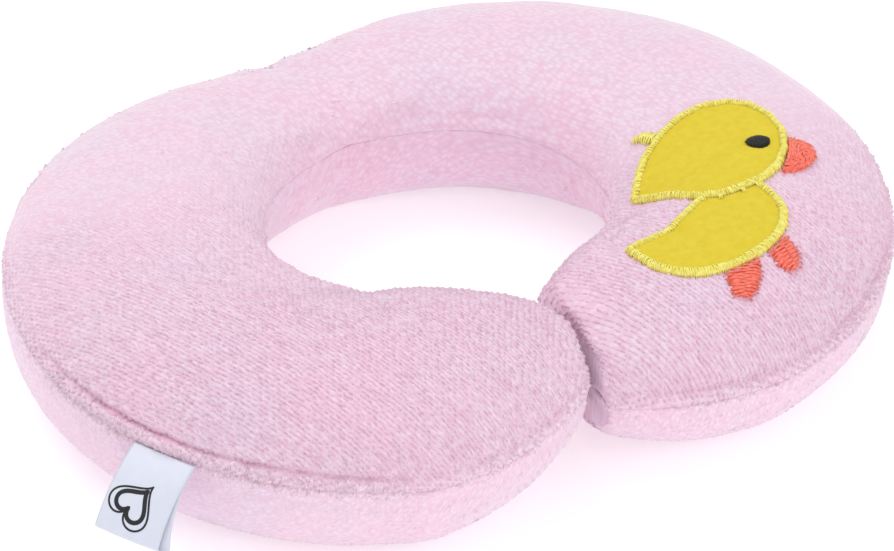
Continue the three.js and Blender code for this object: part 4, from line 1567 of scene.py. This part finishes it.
def normals_open(grid):
    """Unit normals of a grid of points that doesn't close."""
    across = np.gradient(grid, axis=1)
    along = np.gradient(grid, axis=0)
    normal = np.cross(across, along)
    return normal / np.linalg.norm(normal, axis=-1, keepdims=True)


def heart(size):
    """The well-known heart curve of sines and cosines, scaled to a width of size."""
    t = np.linspace(0, 2 * math.pi, HEART_STEPS, endpoint=False)
    x = 16 * np.sin(t) ** 3
    y = 13 * np.cos(t) - 5 * np.cos(2 * t) - 2 * np.cos(3 * t) - np.cos(4 * t)
    return np.stack([x, y + 2], -1) * size / 32


def build_print(surface, normal, across, length):
    """Plain outlined hearts printed on the front layer, as thin strips of ink."""
    shape = Shape()
    for centre, size, turn, line in LABEL_HEARTS:
        cos, sin = math.cos(turn), math.sin(turn)
        outline = heart(size) @ np.array([[cos, sin], [-sin, cos]]) + centre
        along = outline_normals(outline)
        edges = [outline + along * line / 2, outline - along * line / 2]
        rings = []
        for edge in edges:
            for lift in INK_HEIGHTS:
                rings.append(on_grid(surface, normal, across, length, edge, lift))
        ring = np.stack([rings[0], rings[1], rings[3], rings[2]], 1)
        ring = np.concatenate([ring, ring[:1]])
        shape.add(ring, grid_faces(len(ring), 4, closed=True))
    ink, _, _ = new_material("black_ink", INK, INK_FINISH)
    return shape.build("ribbon_print", ink, smooth=False)


def on_grid(surface, normal, across, length, flat, lift):
    """Points over a sheet's grid, from flat places on it."""
    column = np.interp(flat[:, 0], across, np.arange(len(across)))
    row = np.interp(flat[:, 1], length, np.arange(len(length)))
    i = np.minimum(row.astype(int), len(length) - 2)
    j = np.minimum(column.astype(int), len(across) - 2)
    s, t = (row - i)[:, None], (column - j)[:, None]

    def mixed(values):
        near = values[i, j] * (1 - t) + values[i, j + 1] * t
        far = values[i + 1, j] * (1 - t) + values[i + 1, j + 1] * t
        return near * (1 - s) + far * s

    return mixed(surface) + mixed(normal) * lift


# ---- the hand-closed opening -------------------------------------------------------------------------


def build_closing(pillow, material):
    """Short hand stitches over the seam behind the back, half sunk in the pile."""
    low, high = (np.array(corner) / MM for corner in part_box("closing_ladder_stitch"))
    seam = pillow.grid[:, 0]
    near = np.flatnonzero((seam[:, 1] > 0) & (seam[:, 0] > low[0]) & (seam[:, 0] < high[0]))
    rows = near[:: max(1, len(near) // CLOSING_STITCHES)]
    middle = len(CLOSING_COLUMNS) // 2
    shape = Shape()
    for row in rows:
        slant = rng.uniform(-1, 1)
        path = []
        for k, (column, lift) in enumerate(zip(CLOSING_COLUMNS, CLOSING_HEIGHTS)):
            at = row + int(round(slant * (k - middle) / 2))
            path.append(pillow.grid[at, column] + pillow.normal[at, column] * lift)
        shape.add_threads(refined(np.array([path]), CLOSING_REFINED, 1, False), *CLOSING_THREAD)
    stitches = shape.build("closing_stitches", material)
    place_piece(stitches, "pillow", "pink_thread", "closing_ladder_stitch")


# ---- what stays of the CAD model ---------------------------------------------------------------------


def finish_hidden_nodes(pink):
    looks = {
        "fibre_filling": fibre_material(),
        "seam_thread": pink,
        "embroidery_stabiliser": backing_material(),
        "label_seam_tail": satin_material(),
    }
    for name, material in looks.items():
        node = frame["nodes"][name]
        node.data.materials.clear()
        node.data.materials.append(material)


# ---- camera, light and floor -------------------------------------------------------------------------


def add_camera():
    back = Vector((
        math.sin(VIEW_AZIMUTH) * math.cos(VIEW_ELEVATION),
        -math.cos(VIEW_AZIMUTH) * math.cos(VIEW_ELEVATION),
        math.sin(VIEW_ELEVATION),
    ))
    level = Vector((math.cos(VIEW_AZIMUTH), math.sin(VIEW_AZIMUTH), 0))
    over = back.cross(level)
    right = level * math.cos(VIEW_ROLL) + over * math.sin(VIEW_ROLL)
    up = back.cross(right)
    camera = bpy.data.cameras.new("camera")
    camera.lens = LENS
    camera.clip_start, camera.clip_end = CAMERA_CLIP
    obj = bpy.data.objects.new("camera", camera)
    turn = Matrix((right, up, back)).transposed().to_4x4()
    place = (Vector(VIEW_AIM) + back * VIEW_DISTANCE) * MM
    obj.matrix_world = Matrix.Translation(place) @ turn
    bpy.context.scene.collection.objects.link(obj)
    bpy.context.scene.camera = obj


def add_area_light(name, place, size, power):
    light = bpy.data.lights.new(name, "AREA")
    light.shape = "DISK"
    light.size = size
    light.energy = power
    obj = bpy.data.objects.new(name, light)
    obj.location = place
    obj.rotation_euler = (-Vector(place)).to_track_quat("-Z", "Y").to_euler()
    bpy.context.scene.collection.objects.link(obj)


def add_studio():
    pale, _, shader = new_material("pale_floor", FLOOR_COLOR, MATT_FINISH)
    shader.inputs["Emission Color"].default_value = rgba(FLOOR_COLOR)
    shader.inputs["Emission Strength"].default_value = FLOOR_GLOW
    floor = make_object("floor", FLOOR_CORNERS, [[0, 1, 2, 3]], pale)
    world = bpy.data.worlds.new("studio")
    world.use_nodes = True
    background = world.node_tree.nodes["Background"]
    background.inputs["Color"].default_value = rgba(WHITE)
    background.inputs["Strength"].default_value = WORLD_STRENGTH
    scene = bpy.context.scene
    scene.world = world
    for name, place, size, power in LIGHTS:
        add_area_light(name, place, size, power)
    scene.view_settings.view_transform = "Standard"
    scene.view_settings.look = "None"


# ---- the whole scene ---------------------------------------------------------------------------------


def build():
    pillow = Pillow()
    plush = plush_material("pink_plush")
    pile = pile_material("pink_pile", 0.0)
    top = build_panel(pillow, "top_cover", "top_cover_panel", True, plush)
    build_panel(pillow, "bottom_cover", "bottom_cover_panel", False, plush)
    build_tufts(pillow, "top_tufts", True, pile)
    build_tufts(pillow, "bottom_tufts", False, pile)
    # The seam's pile is paled with painted light, against the shade among its dense tufts.
    build_seam_pile(pillow, pile_material("painted_light_pile", SEAM_PILE_PAINTED_LIGHT))
    build_duck(Surface(top))
    pink = thread_material("pink_thread", PINK_THREAD, PINK_THREAD_SHADE)
    build_closing(pillow, pink)
    build_label()
    finish_hidden_nodes(pink)


build()
add_camera()
add_studio()
